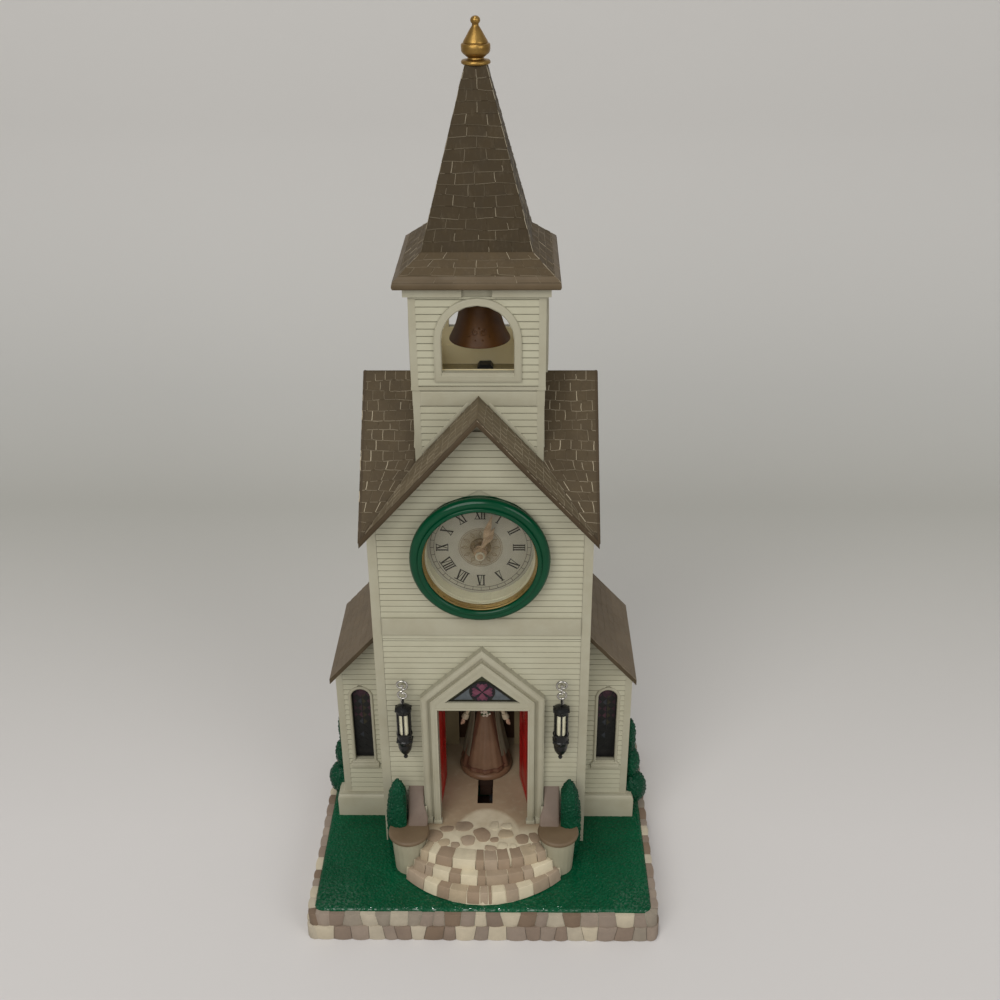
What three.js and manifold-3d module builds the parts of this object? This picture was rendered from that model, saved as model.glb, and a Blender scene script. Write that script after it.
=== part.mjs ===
import * as THREE from 'three';
import { mergeVertices } from 'three/addons/utils/BufferGeometryUtils.js';
import Module from 'manifold-3d';

// Musical clock shaped like a small wooden church on a stone-edged lawn.
// Millimetres, +Z up, front towards -Y. The origin is the middle of the base, on the table.
// House pieces are placed in a group whose origin is under the middle of the tower.

// Base
const baseWidth = 169;
const baseDepth = 142;
const baseHeight = 16.3;
const baseCorner = 4;
const baseWall = 6;
const lawnInset = 2.6; // at the front and the back
const lawnSideInset = 3.6;
const lawnTop = 17.4;
const lawnSkirt = 3;
const houseY = 15;

// Clearances
const gap = 0.3;
const pinGap = 0.3;

// Main case
const caseHalfWidth = 50;
const caseHalfDepth = 37.8;
const wall = 2.5;
const postWidth = 4.2;
const postProud = 0.8;
const lowerCaseTop = 142.2;
const trimBottom = 144.8;
const trimTop = 154;
const trimHalfWidth = 45.6;
const trimProud = 1.6;

// Main roof
const ridgeZ = 259.3;
const eaveZ = 202;
const roofHalfWidth = 51.4;
const roofHalfDepth = 52.4;
const roofThickness = 2.8;

// Tower and belfry
const towerHalf = 27.7;
const belfryHalf = 28.1;
const towerPost = 3;
const towerProud = 0.7;
const towerFoot = 217;
const towerTop = 262;
const towerBandBottom = 254.8;
const towerBandTop = 261.4;
const bandProud = 0.12;
const belfryFloorTop = 252.5;
const belfryFloorThickness = 2.5;
const archHalf = 15;
const archFrameHalf = 18.1;
const archSill = 270.3;
const archFrameFoot = 266.1;
const archSpring = 284.3;
const archFrameProud = 1.7;
const corniceBottom = 303.2;
const corniceProud = 2.6;
const corniceBreak = 6.2; // half of the gap that each arch leaves in the cornice
const belfryFootBand = 1.6;

// Spire
const spireBottom = 307.3;
const spireEaveTop = 310.1;
const spireEaveHalf = 33.5;
const spireBreakZ = 319.4;
const spireBreakHalf = 22.3;
const spireTop = 387.5;
const spireTopHalf = 4.2;
const spireCavityHalf = 22;
const spireCavityTop = 375;
const spireCavityTopHalf = 1.5;
const finialTop = 405.2;

// Wings
const wingHalfWidth = 72.8;
const wingFront = -17.8;
const wingBack = 26;
const wingRoofEave = 73.2;
const wingEaveZ = 113.9;
const wingInnerZ = 139.6;
const wingRoofFront = -31.3;
const wingRoofBack = 33.2;
const wingBaseTop = 31.6;
const wingBaseSide = 3.6;
const wingBaseFront = 2;
const windowX = (caseHalfWidth + wingHalfWidth) / 2 - 0.2;
const windowHalf = 4.7;
const windowFoot = 53.4;
const windowSpring = 93.3;
const windowFrame = 1.4;
const windowFrameProud = 1;
const sillHalf = 7.1;
const sillTop = 52;
const sillBottom = 48.3;
const sillProud = 1.8;
const paneThickness = 1.1;

// Steps and floor
const floorTop = 33.2;
const floorThickness = 2.5;
const floorHalf = 46;
const floorBack = 25;
const floorLegWidth = 2;
const stepTops = [23.5, 28.4, 33.2];
const stepFronts = [78.6, 72.6, 67.4];
const stepFeet = [80.4, 73.4, 68];
const stepCorners = [[37.6, 62.2], [34.4, 61.4], [31.6, 59.6]];
const slotHalf = 3.9;
const slotFront = -27.9;

// Door surround
const surroundHalf = 29.3;
const surroundShoulder = 110.4;
const surroundApex = 138.1;
const surroundProud = 5;
const surroundBase = 3.4;
const outerBand = 3.2;
const innerBandHalf = 24.6;
const doorwayHalf = 21.6;
const doorwayTop = 104;
const glassHalf = 17.9;
const glassFoot = 108.5;
const glassApex = 124.2;
const glassLip = 1.3;
const liningWall = 2.5;
const liningBack = -31.6;

// Doors
const doorThickness = 2;
const doorPinRadius = 0.8;
const doorKnuckle = 1.3;
const doorTop = 105.9;
const leftDoorOpen = 86;
const rightDoorOpen = 79;

// Stage behind the doorway
const stageHalf = 26;
const stageWall = 2;
const stageFront = -34.1;
const stageBack = 18;
const stageCeiling = 107.8;
const nicheHalf = 14.9;
const nicheSpring = 82;
const nicheBack = 23.6;
const nicheWall = 1.4;

// Bride, her carriage and its drive
const figureY = 2.5;
const figureForward = 17;
const figureBackward = 6.4;
const brideHeight = 58.7;
const discRadius = 13.8;
const discThickness = 3;
const neckHalfLength = 12;
const rackTop = 28.8;
const rackBottom = 24.8;
const rackHalfWidth = 3;
const rackFront = -15;
const rackBack = 17;
const gearModule = 0.8;
const pinionTeeth = 12;
const pinionY = -2;
const toothShare = 0.4;

// Cheek walls of the steps
const cheekX = 36.5;
const cheekY = -54;
const paddleRadius = 10;
const paddleTop = 40;
const capThickness = 2;
const pedestalTopRadius = 8.6;
const pedestalFootRadius = 7.4;
const capWallZ = 54.5;
const capInner = 27.2;
const capOuter = 37.5;
const cheekInset = 1;

// Planting. Each plant's outline is drawn from the ground up at these heights.
const frontBushHeight = 49.4;
const frontBushOut = 4.2;
const frontBushBack = 7.2;
const shrubHeight = 58.6;
const shrubY = -10.3;
const shrubOut = 4;
const leftShrubY = -4;
const leftShrubOut = 3;

// Clock
const clockZ = 187.8;
const bezelOuter = 31;
const bezelInner = 25.9;
const bezelProud = 9.3;
const wellInner = 24;
const wellOuter = 28.4;
const wellFront = -38.6;
const dialFront = -31.9;
const dialThickness = 0.8;
const dialRadius = 24.6;
const ringFront = -44;
const lensRadius = 24.9;
const lensThickness = 0.9;
const movementHalf = 28;
const movementDepth = 16;
const minuteAngle = 16;
const hourAngle = 28;

// Bell
const bellPivotZ = 300;
const bellRimZ = 274.6;
const bellRadius = 13.3;
const clapperPivotZ = 290.6;

// Lanterns
const lanternX = 37.2;
const lanternY = -43.9;
const lanternTop = 108.6;
const lanternFoot = 77;
const lanternRadius = 4.1;
const hookTop = 122.5;
const hookWire = 0.6;
const hookPivotZ = 111.2;

// Rear fittings of the lower case
const rearHalf = 44;
const rearFoot = 22;
const rearTop = 140;
const rearThickness = 2;
const rearScrewZ = 92;
const bayHalf = 28.5;
const bayFoot = 104;
const bayTop = 134;
const bayDepth = 15;
const cellRadius = 7.2;
const cellLength = 50.2;
const speakerZ = 70;
const speakerRadius = 20;
const speakerDepth = 9;
const switchX = 30;
const buttonX = -30;
const controlZ = 90;
const hatchHalf = 28;
const hatchFoot = 158;
const hatchTop = 210;
const hatchPinRadius = 0.6;
const hatchPinReach = 1.5;

// Derived places
const caseFront = -(caseHalfDepth - postProud);
const caseBack = caseHalfDepth - postProud;
const caseSide = caseHalfWidth - postProud;
const doorHingeX = doorwayHalf + doorKnuckle;
const doorHingeY = liningBack + doorKnuckle + gap + 0.1;
const doorWidth = doorHingeX - gap;
const frontSlope = (ridgeZ - eaveZ) / roofHalfWidth;
const sideSlope = (ridgeZ - eaveZ) / roofHalfDepth;
const neckHalf = slotHalf - 0.4;
const hatchHingeY = caseBack - wall / 2;
const hatchHingeZ = hatchFoot + 1.7;
const pitchRadius = gearModule * pinionTeeth / 2;
const toothPitch = Math.PI * gearModule;
const rackPitchX = rackHalfWidth + 1.25 * gearModule;
const pinionX = rackPitchX + pitchRadius;

const wasm = await Module();
wasm.setup();

const clock = new THREE.Group();
const house = new THREE.Group();
house.position.y = houseY;
clock.add(house);

// Turns a closed three.js geometry into a solid that can be joined and cut. Coordinates go on a
// grid of 0.0001 mm, so that faces meant to lie in one plane do.
function toSolid(geometry) {
  geometry.deleteAttribute('normal');
  geometry.deleteAttribute('uv');
  const merged = mergeVertices(geometry, 1e-4);
  const corners = merged.index.array;
  const kept = [];
  for (let i = 0; i < corners.length; i += 3) {
    const [a, b, c] = [corners[i], corners[i + 1], corners[i + 2]];
    if (a !== b && b !== c && c !== a) kept.push(a, b, c);
  }
  const onGrid = (value) => Math.round(value * 1e4) / 1e4;
  return new wasm.Manifold(new wasm.Mesh({
    numProp: 3,
    vertProperties: Float32Array.from(merged.attributes.position.array, onGrid),
    triVerts: new Uint32Array(kept),
  }));
}

function join(...solids) {
  return solids.reduce((all, next) => all.add(next));
}

function cut(solid, ...tools) {
  return tools.reduce((left, tool) => left.subtract(tool), solid);
}

function block([x0, x1], [y0, y1], [z0, z1]) {
  const geometry = new THREE.BoxGeometry(x1 - x0, y1 - y0, z1 - z0);
  geometry.translate((x0 + x1) / 2, (y0 + y1) / 2, (z0 + z1) / 2);
  return toSolid(geometry);
}

// A flat outline, given as points, with optional holes, swept by depth along +Z.
function sweep(points, depth, holes = []) {
  const shape = new THREE.Shape(points.map(([x, y]) => new THREE.Vector2(x, y)));
  for (const hole of holes) {
    shape.holes.push(new THREE.Path(hole.map(([x, y]) => new THREE.Vector2(x, y))));
  }
  return new THREE.ExtrudeGeometry(shape, { depth, bevelEnabled: false });
}

// Plan outline (x, y) standing from z0 to z1.
function standing(points, [z0, z1], holes) {
  return toSolid(sweep(points, z1 - z0, holes).translate(0, 0, z0));
}

// Front outline (x, z) running from y0 back to y1.
function facingFront(points, [y0, y1], holes) {
  return toSolid(sweep(points, y1 - y0, holes).rotateX(Math.PI / 2).translate(0, y1, 0));
}

// Side outline (y, z) running from x0 to x1.
function facingSide(points, [x0, x1], holes) {
  const turn = new THREE.Matrix4().makeBasis(
    new THREE.Vector3(0, 1, 0), new THREE.Vector3(0, 0, 1), new THREE.Vector3(1, 0, 0));
  return toSolid(sweep(points, x1 - x0, holes).applyMatrix4(turn).translate(x0, 0, 0));
}

// Profile (radius, z) turned about a standing axis at (x, y).
function turned(profile, x = 0, y = 0, segments = 24) {
  const points = profile.map(([r, z]) => new THREE.Vector2(r, z));
  return toSolid(new THREE.LatheGeometry(points, segments).rotateX(Math.PI / 2).translate(x, y, 0));
}

// Profile (radius, y) turned about an axis along Y at (x, z); y grows towards the back.
function turnedAlongY(profile, x, z, segments = 24) {
  const points = profile.map(([r, y]) => new THREE.Vector2(r, y));
  return toSolid(new THREE.LatheGeometry(points, segments).translate(x, 0, z));
}

// Profile (radius, x) turned about an axis along X at (y, z).
function turnedAlongX(profile, y, z, segments = 16) {
  const points = profile.map(([r, x]) => new THREE.Vector2(r, x));
  return toSolid(new THREE.LatheGeometry(points, segments).rotateZ(-Math.PI / 2).translate(0, y, z));
}

function rod(radius, [z0, z1], x, y, segments = 16) {
  return turned([[0, z0], [radius, z0], [radius, z1], [0, z1]], x, y, segments);
}

function ball([x, y, z], [rx, ry, rz], wide = 16, high = 10) {
  const geometry = new THREE.SphereGeometry(1, wide, high).rotateX(Math.PI / 2);
  return toSolid(geometry.scale(rx, ry, rz).translate(x, y, z));
}

// A round wire or limb along a curve through the given points.
function tube(points, radius, sides, steps) {
  const path = new THREE.CatmullRomCurve3(points.map((p) => new THREE.Vector3(...p)));
  const ring = arc(0, 0, radius, 0, 360 - 360 / sides, sides - 1);
  const shape = new THREE.Shape(ring.map(([x, y]) => new THREE.Vector2(x, y)));
  return toSolid(new THREE.ExtrudeGeometry(shape, { steps, extrudePath: path }));
}

// Points on a circle from one angle to another, in degrees.
function arc(cx, cy, radius, from, to, steps) {
  const points = [];
  for (let i = 0; i <= steps; i += 1) {
    const angle = THREE.MathUtils.degToRad(from + (to - from) * i / steps);
    points.push([cx + radius * Math.cos(angle), cy + radius * Math.sin(angle)]);
  }
  return points;
}

function rectangle([x0, x1], [y0, y1]) {
  return [[x0, y0], [x1, y0], [x1, y1], [x0, y1]];
}

function roundedRectangle(halfWidth, halfDepth, radius) {
  const x = halfWidth - radius;
  const y = halfDepth - radius;
  return [...arc(x, y, radius, 0, 90, 4), ...arc(-x, y, radius, 90, 180, 4),
    ...arc(-x, -y, radius, 180, 270, 4), ...arc(x, -y, radius, 270, 360, 4)];
}

// An opening with a round top: a rectangle below the spring line, half a circle above.
function roundTop(cx, half, foot, spring, steps = 10) {
  return [[cx - half, foot], [cx + half, foot], ...arc(cx, spring, half, 0, 180, steps)];
}

// Adds a solid to the group as a named mesh with its own material.
function place(group, name, solid, color, roughness, metalness = 0, flip = false) {
  const { vertProperties, triVerts, numProp } = solid.getMesh();
  const positions = [];
  for (let i = 0; i < vertProperties.length; i += numProp) {
    const x = vertProperties[i];
    positions.push(flip ? -x : x, vertProperties[i + 1], vertProperties[i + 2]);
  }
  const index = [];
  for (let i = 0; i < triVerts.length; i += 3) {
    const [a, b, c] = [triVerts[i], triVerts[i + 1], triVerts[i + 2]];
    if (flip) index.push(a, c, b);
    else index.push(a, b, c);
  }
  const geometry = new THREE.BufferGeometry();
  geometry.setAttribute('position', new THREE.Float32BufferAttribute(positions, 3));
  geometry.setIndex(index);
  geometry.computeVertexNormals();
  const material = new THREE.MeshStandardMaterial({ color, roughness, metalness });
  const mesh = new THREE.Mesh(geometry, material);
  mesh.name = name;
  group.add(mesh);
  return mesh;
}

const IVORY = 0xd8d3bd;
const SHINGLE = 0x6b5a4b;
const GREEN = 0x0f5a3c;
const RED = 0x8f1512;
const BRASS = 0xb98a35;
const STONE = 0xa8937c;
const BLACK = 0x16140f;
const STEEL = 0xb8bab8;
const GREY = 0x55585a;

// Places the same solid on both sides: as made on the right, mirrored on the left.
function placePair(name, solid, color, roughness, metalness) {
  place(house, `right_${name}`, solid, color, roughness, metalness);
  place(house, `left_${name}`, solid, color, roughness, metalness, true);
}

function makeBase() {
  const outer = roundedRectangle(baseWidth / 2, baseDepth / 2, baseCorner);
  const inner = roundedRectangle(baseWidth / 2 - baseWall, baseDepth / 2 - baseWall, baseCorner);
  place(clock, 'base_plinth', standing(outer, [0, baseHeight], [inner]), STONE, 0.75);

  const turf = roundedRectangle(baseWidth / 2 - lawnSideInset, baseDepth / 2 - lawnInset, baseCorner);
  const skirtHalf = [baseWidth / 2 - baseWall - gap, baseDepth / 2 - baseWall - gap];
  const skirt = roundedRectangle(skirtHalf[0], skirtHalf[1], baseCorner);
  const lawn = join(
    standing(turf, [baseHeight, lawnTop]),
    standing(skirt, [baseHeight - lawnSkirt, baseHeight + gap]));
  place(clock, 'lawn', lawn, GREEN, 0.4);
}

// Roof outline seen along one axis: a gable whose top lies drop below the roof surface.
function gable(half, bottom, slope, drop) {
  const edge = ridgeZ - half * slope - drop;
  return [[-half, bottom], [half, bottom], [half, edge], [0, ridgeZ - drop], [-half, edge]];
}

function cornerPosts(halfWidth, halfDepth, width, [z0, z1]) {
  const posts = [];
  for (const sx of [-1, 1]) {
    for (const sy of [-1, 1]) {
      const xs = [sx * halfWidth, sx * (halfWidth - width)].sort((a, b) => a - b);
      const ys = [sy * halfDepth, sy * (halfDepth - width)].sort((a, b) => a - b);
      posts.push(block(xs, ys, [z0, z1]));
    }
  }
  return posts;
}

function squareBlock(half, zs) {
  return block([-half, half], [-half, half], zs);
}

function hollow(half, depth, thickness, [z0, z1]) {
  return block([-half + thickness, half - thickness], [-depth + thickness, depth - thickness], [z0, z1]);
}

function makeLowerCase() {
  const walls = join(
    block([-caseSide, caseSide], [caseFront, caseBack], [lawnTop, lowerCaseTop]),
    ...cornerPosts(caseHalfWidth, caseHalfDepth, postWidth, [lawnTop, lowerCaseTop]));
  const doorway = block([-surroundHalf + outerBand, surroundHalf - outerBand],
    [caseFront - 1, 0], [lawnTop - 1, doorwayTop + liningWall + gap]);
  const bossY = caseBack - wall;
  const bosses = rearScrewPlaces().map(([x, z]) => turnedAlongY(
    [[0, bossY - 4], [2.2, bossY - 4], [2.2, bossY + gap], [0, bossY + gap]], x, z, 10));
  const bores = rearScrewPlaces().map(([x, z]) => turnedAlongY(
    [[0, bossY - 3], [1.3, bossY - 3], [1.3, caseBack + 1], [0, caseBack + 1]], x, z, 10));
  const rearOpening = block([-rearHalf + 5, rearHalf - 5], [0, caseBack + 1], [rearFoot + 5, rearTop - 3]);
  const shell = join(
    cut(walls, hollow(caseSide, caseBack, wall, [lawnTop - 1, lowerCaseTop + 1]), doorway, rearOpening),
    ...bosses);
  place(house, 'lower_case', cut(shell, ...bores), IVORY, 0.5);
}

function makeUpperCase() {
  const drop = roofThickness + gap;
  const body = join(
    facingFront(gable(caseSide, lowerCaseTop, frontSlope, drop), [caseFront, caseBack]),
    facingSide(gable(caseBack, lowerCaseTop, sideSlope, drop), [-caseSide, caseSide]),
    ...cornerPosts(caseHalfWidth, caseHalfDepth, postWidth, [lowerCaseTop, eaveZ - drop]));
  const trim = block([-trimHalfWidth, trimHalfWidth], [caseFront - trimProud, caseFront + 1],
    [trimBottom, trimTop]);
  const clockHole = turnedAlongY([[0, caseFront - 5], [wellOuter + gap, caseFront - 5],
    [wellOuter + gap, 0], [0, 0]], 0, clockZ, 40);
  const hatchHole = block([-hatchHalf, hatchHalf], [0, caseBack + 1], [hatchFoot, hatchTop]);
  const pinSpan = hatchHalf + hatchPinReach + gap;
  const hatchPinHoles = turnedAlongX([[0, -pinSpan], [hatchPinRadius + pinGap, -pinSpan],
    [hatchPinRadius + pinGap, pinSpan], [0, pinSpan]], hatchHingeY, hatchHingeZ, 12);
  const shell = cut(join(body, trim),
    hollow(caseSide, caseBack, wall, [lowerCaseTop - 1, ridgeZ + 5]), clockHole, hatchHole, hatchPinHoles);
  place(house, 'upper_case', shell, IVORY, 0.5);
}

function makeMainRoof() {
  const bottom = eaveZ - roofThickness;
  const top = join(
    facingFront(gable(roofHalfWidth, bottom, frontSlope, 0), [-roofHalfDepth, roofHalfDepth]),
    facingSide(gable(roofHalfDepth, bottom, sideSlope, 0), [-roofHalfWidth, roofHalfWidth]));
  const under = join(
    facingFront(gable(roofHalfWidth + 1, bottom - 9, frontSlope, roofThickness),
      [-roofHalfDepth - 1, roofHalfDepth + 1]),
    facingSide(gable(roofHalfDepth + 1, bottom - 9, sideSlope, roofThickness),
      [-roofHalfWidth - 1, roofHalfWidth + 1]));
  const towerHole = towerHalf + gap;
  const opening = block([-towerHole, towerHole], [-towerHole, towerHole], [bottom - 5, ridgeZ + 5]);
  place(house, 'main_roof', cut(top, under, opening), SHINGLE, 0.7);
}

function makeTowerLower() {
  const half = towerHalf - towerProud;
  const tube0 = join(
    squareBlock(half, [towerFoot, towerTop]),
    ...cornerPosts(towerHalf, towerHalf, towerPost, [towerFoot, towerTop]),
    squareBlock(towerHalf + bandProud, [towerBandBottom, towerBandTop]));
  const bore = hollow(half, half, wall, [towerFoot - 1, belfryFloorTop - belfryFloorThickness]);
  const well = hollow(half, half, wall, [belfryFloorTop, towerTop + 1]);
  place(house, 'tower_lower', cut(tube0, bore, well), IVORY, 0.5);
}

// One arch opening for each face; the same outline serves the front and, turned, the sides.
function archCutters(outline, reach) {
  return [facingFront(outline, [-reach, reach]), facingSide(outline, [-reach, reach])];
}

function makeBelfry() {
  const half = belfryHalf - towerProud;
  const frameReach = half + archFrameProud;
  const frame = roundTop(0, archFrameHalf, archFrameFoot, archSpring);
  const gapAbove = [[-corniceBreak, corniceBottom - 1], [corniceBreak, corniceBottom - 1],
    [corniceBreak, spireBottom + 1], [-corniceBreak, spireBottom + 1]];
  const body = join(
    squareBlock(half, [towerTop, spireBottom]),
    ...cornerPosts(belfryHalf, belfryHalf, towerPost, [towerTop, spireBottom]),
    squareBlock(belfryHalf + bandProud, [towerTop, towerTop + belfryFootBand]),
    cut(squareBlock(half + corniceProud, [corniceBottom, spireBottom]), ...archCutters(gapAbove, 2 * half)),
    ...archCutters(frame, frameReach));
  const opening = roundTop(0, archHalf, archSill, archSpring);
  const inside = hollow(half, half, wall, [towerTop - 1, spireBottom + 1]);
  place(house, 'belfry', cut(body, inside, ...archCutters(opening, frameReach + 1)), IVORY, 0.5);
}

// Half widths and heights of a square plan turned into one faceted solid.
function squareTurned(profile) {
  const points = profile.map(([half, z]) => new THREE.Vector2(half * Math.SQRT2, z));
  return toSolid(new THREE.LatheGeometry(points, 4, Math.PI / 4).rotateX(Math.PI / 2));
}

function makeSpire() {
  const outer = squareTurned([[0, spireBottom], [spireEaveHalf, spireBottom], [spireEaveHalf, spireEaveTop],
    [spireBreakHalf, spireBreakZ], [spireTopHalf, spireTop], [0, spireTop]]);
  const cavity = squareTurned([[0, spireBottom - 1], [spireCavityHalf, spireBottom - 1],
    [spireCavityHalf, spireEaveTop], [spireBreakHalf - wall, spireBreakZ],
    [spireCavityTopHalf, spireCavityTop], [0, spireCavityTop]]);
  place(house, 'spire_roof', cut(outer, cavity), SHINGLE, 0.7);

  const z = (step) => spireTop + (finialTop - spireTop) * step;
  const profile = [[0, z(0)], [4.6, z(0)], [5.4, z(0.02)], [5.9, z(0.07)], [5.9, z(0.12)], [4.2, z(0.18)],
    [5.5, z(0.36)], [5.5, z(0.44)], [4.6, z(0.55)], [2.3, z(0.76)], [1.7, z(0.8)], [2.1, z(0.87)],
    [1.4, z(0.97)], [0, z(1)]];
  place(house, 'finial', turned(profile, 0, 0, 16), BRASS, 0.35, 0.9);
}

function wingSlope() {
  return (wingInnerZ - wingEaveZ) / (wingRoofEave - caseHalfWidth);
}

function makeWings() {
  const slope = wingSlope();
  const inner = caseSide + gap;
  const roofAt = (x) => wingEaveZ + (wingRoofEave - x) * slope;
  const drop = roofThickness + gap;
  const side = wingHalfWidth - postProud;
  const outline = [[inner, lawnTop], [side, lawnTop], [side, roofAt(side) - drop],
    [inner, roofAt(inner) - drop]];
  const corner = wingHalfWidth - postWidth * 0.8;
  const posts = [[wingFront, wingFront + 3.4], [wingBack - 3.4, wingBack]].map((span) => block(
    [corner, wingHalfWidth], span, [lawnTop, roofAt(wingHalfWidth) - drop]));
  const plinth = join(
    block([inner, wingHalfWidth + wingBaseSide - 0.8], [wingFront - wingBaseFront + 0.7, wingBack + 1.3],
      [lawnTop, wingBaseTop]),
    block([inner, wingHalfWidth + wingBaseSide], [wingFront - wingBaseFront, wingBack + 2],
      [lawnTop, wingBaseTop - 4]));
  const front = wingFront + postProud;
  const back = wingBack - postProud;
  const frame = roundTop(windowX, windowHalf + windowFrame, windowFoot - 1, windowSpring);
  const frontTrim = join(
    facingFront(frame, [front - windowFrameProud, front + 1]),
    block([windowX - sillHalf, windowX + sillHalf], [front - sillProud, front + 1], [sillBottom, sillTop]));
  const body = join(facingFront(outline, [front, back]), ...posts, plinth, frontTrim);
  const room = facingFront([[inner - 1, lawnTop - 1], [side - wall, lawnTop - 1],
    [side - wall, roofAt(side - wall) + 5], [inner - 1, roofAt(inner) + 8]], [front + wall, back - wall]);
  const opening = roundTop(windowX, windowHalf, windowFoot, windowSpring);
  const pocket = roundTop(windowX, windowHalf + 0.8, windowFoot - 0.8, windowSpring);
  const paneFront = front + wall - paneThickness - gap;
  const wing = cut(body, room,
    facingFront(opening, [front - 5, front + 5]), facingFront(pocket, [paneFront - gap, front + wall + 1]));
  placePair('wing', wing, IVORY, 0.5);

  const pane = roundTop(windowX, windowHalf + 0.5, windowFoot - 0.5, windowSpring);
  placePair('window_pane', facingFront(pane, [paneFront - gap, paneFront - gap + paneThickness]),
    0x23211d, 0.25);

  const roofInner = caseSide + gap;
  const roofOutline = [[roofInner, roofAt(roofInner) - roofThickness],
    [wingRoofEave, wingEaveZ - roofThickness], [wingRoofEave, wingEaveZ], [roofInner, roofAt(roofInner)]];
  placePair('wing_roof', facingFront(roofOutline, [wingRoofFront, wingRoofBack]), SHINGLE, 0.7);
}

// Centre and radius of the circle through the front point (0, -front) and a corner at both sides.
function stepArc(front, [cornerX, cornerY], steps) {
  const centre = (front * front - cornerX * cornerX - cornerY * cornerY) / (2 * (front - cornerY));
  const radius = front - centre;
  const half = THREE.MathUtils.radToDeg(Math.asin(cornerX / radius));
  return arc(0, -centre, radius, 270 - half, 270 + half, steps);
}

function makeSteps() {
  const wallLine = caseFront - gap;
  const tiers = stepTops.map((top, i) => {
    const below = i === 0 ? lawnTop : stepTops[i - 1] - 0.5;
    const [cornerX, cornerY] = stepCorners[i];
    const foot = stepArc(stepFeet[i], [cornerX + 0.4, cornerY], 12);
    const edge = stepArc(stepFronts[i], stepCorners[i], 12);
    const backHalf = 28.6;
    return loft([...foot, [backHalf, wallLine], [-backHalf, wallLine]],
      [...edge, [backHalf - 0.2, wallLine], [-backHalf + 0.2, wallLine]], below, top);
  });
  const cheeks = [-1, 1].map((side) => cheekRoom(side));
  const throat = surroundHalf - outerBand - gap;
  const floorBottom = floorTop - floorThickness;
  const steps = cut(join(...tiers), ...cheeks);
  const floor = join(
    block([-throat, throat], [wallLine - 1, caseFront + wall + 1], [floorBottom, floorTop]),
    block([-floorHalf, floorHalf], [caseFront + wall + gap, floorBack], [floorBottom, floorTop]),
    ...[-1, 1].map((side) => block(
      [Math.min(side * floorHalf, side * (floorHalf - floorLegWidth)),
        Math.max(side * floorHalf, side * (floorHalf - floorLegWidth))],
      [caseFront + wall + gap, floorBack], [lawnTop, floorTop - 1])));
  const slotBack = figureY + figureBackward + neckHalfLength + 0.4;
  const slot = block([-slotHalf, slotHalf], [slotFront, slotBack], [0, floorTop + 1]);
  const rackRoom = block([-slotHalf, slotHalf], [-33, slotFront + 1], [lawnTop - 1, floorBottom]);
  const pinHoles = [-1, 1].map((side) => rod(doorPinRadius + pinGap, [0, floorTop + 1],
    side * doorHingeX, doorHingeY, 12));
  place(house, 'steps_and_floor', cut(join(steps, floor), slot, rackRoom, ...pinHoles), STONE, 0.75);
}

// A solid between two outlines with the same number of points, at two heights.
function loft(low, high, z0, z1) {
  const count = low.length;
  const positions = [];
  for (const [x, y] of low) positions.push(x, y, z0);
  for (const [x, y] of high) positions.push(x, y, z1);
  const faces = [];
  for (const [a, b, c] of THREE.ShapeUtils.triangulateShape(low.map((p) => new THREE.Vector2(...p)), [])) {
    faces.push(a, c, b, a + count, b + count, c + count);
  }
  for (let i = 0; i < count; i += 1) {
    const next = (i + 1) % count;
    faces.push(i, next, next + count, i, next + count, i + count);
  }
  const geometry = new THREE.BufferGeometry();
  geometry.setAttribute('position', new THREE.Float32BufferAttribute(positions, 3));
  geometry.setIndex(faces);
  return toSolid(geometry);
}

// The space that a cheek wall and its pedestal take beside the steps.
function cheekRoom(side) {
  const pedestal = turned([[0, lawnTop - 1], [pedestalFootRadius + gap, lawnTop - 1],
    [pedestalTopRadius + gap, paddleTop + 1], [0, paddleTop + 1]], side * cheekX, cheekY, 20);
  const strip = [side * (capInner + cheekInset - gap), side * (capOuter + 5)].sort((a, b) => a - b);
  return join(pedestal, block(strip, [cheekY, caseFront + 1], [lawnTop - 1, capWallZ]));
}

// Side outline (y, z) of the coping's upper surface, from the wall down to the flat paddle.
function copingCurve(drop) {
  const curve = new THREE.QuadraticBezierCurve(
    new THREE.Vector2(caseFront - gap, capWallZ - drop),
    new THREE.Vector2(caseFront - 7.5, paddleTop + 1.5 - drop),
    new THREE.Vector2(cheekY + 1.5, paddleTop - drop));
  return curve.getPoints(8).map((p) => [p.x, p.y]);
}

function makeCheeks() {
  const capBottom = paddleTop - capThickness;
  const strip = [...copingCurve(0), ...copingCurve(capThickness).reverse()];
  const notch = block([0, surroundHalf + gap], [caseFront - surroundProud - gap, 0], [0, surroundApex]);
  const paddle = rod(paddleRadius, [capBottom, paddleTop], cheekX, cheekY, 24);
  const cap = cut(join(paddle, facingSide(strip, [capInner, capOuter]),
    block([capInner, capOuter], [cheekY, cheekY + 2], [capBottom, paddleTop])), notch);
  placePair('wall_cap', cap, SHINGLE, 0.6);

  const under = copingCurve(capThickness + gap);
  const outline = [...under, [cheekY, capBottom - gap], [cheekY, lawnTop], [caseFront - gap, lawnTop]];
  const wallPart = facingSide(outline, [capInner + cheekInset, capOuter - cheekInset]);
  const pedestal = turned([[0, lawnTop], [pedestalFootRadius, lawnTop], [pedestalTopRadius, capBottom - gap],
    [0, capBottom - gap]], cheekX, cheekY, 20);
  const paddleRoom = rod(paddleRadius + gap, [capBottom - gap, capWallZ], cheekX, cheekY, 24);
  placePair('cheek_wall', cut(join(wallPart, pedestal), notch, paddleRoom), IVORY, 0.5);
}

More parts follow.
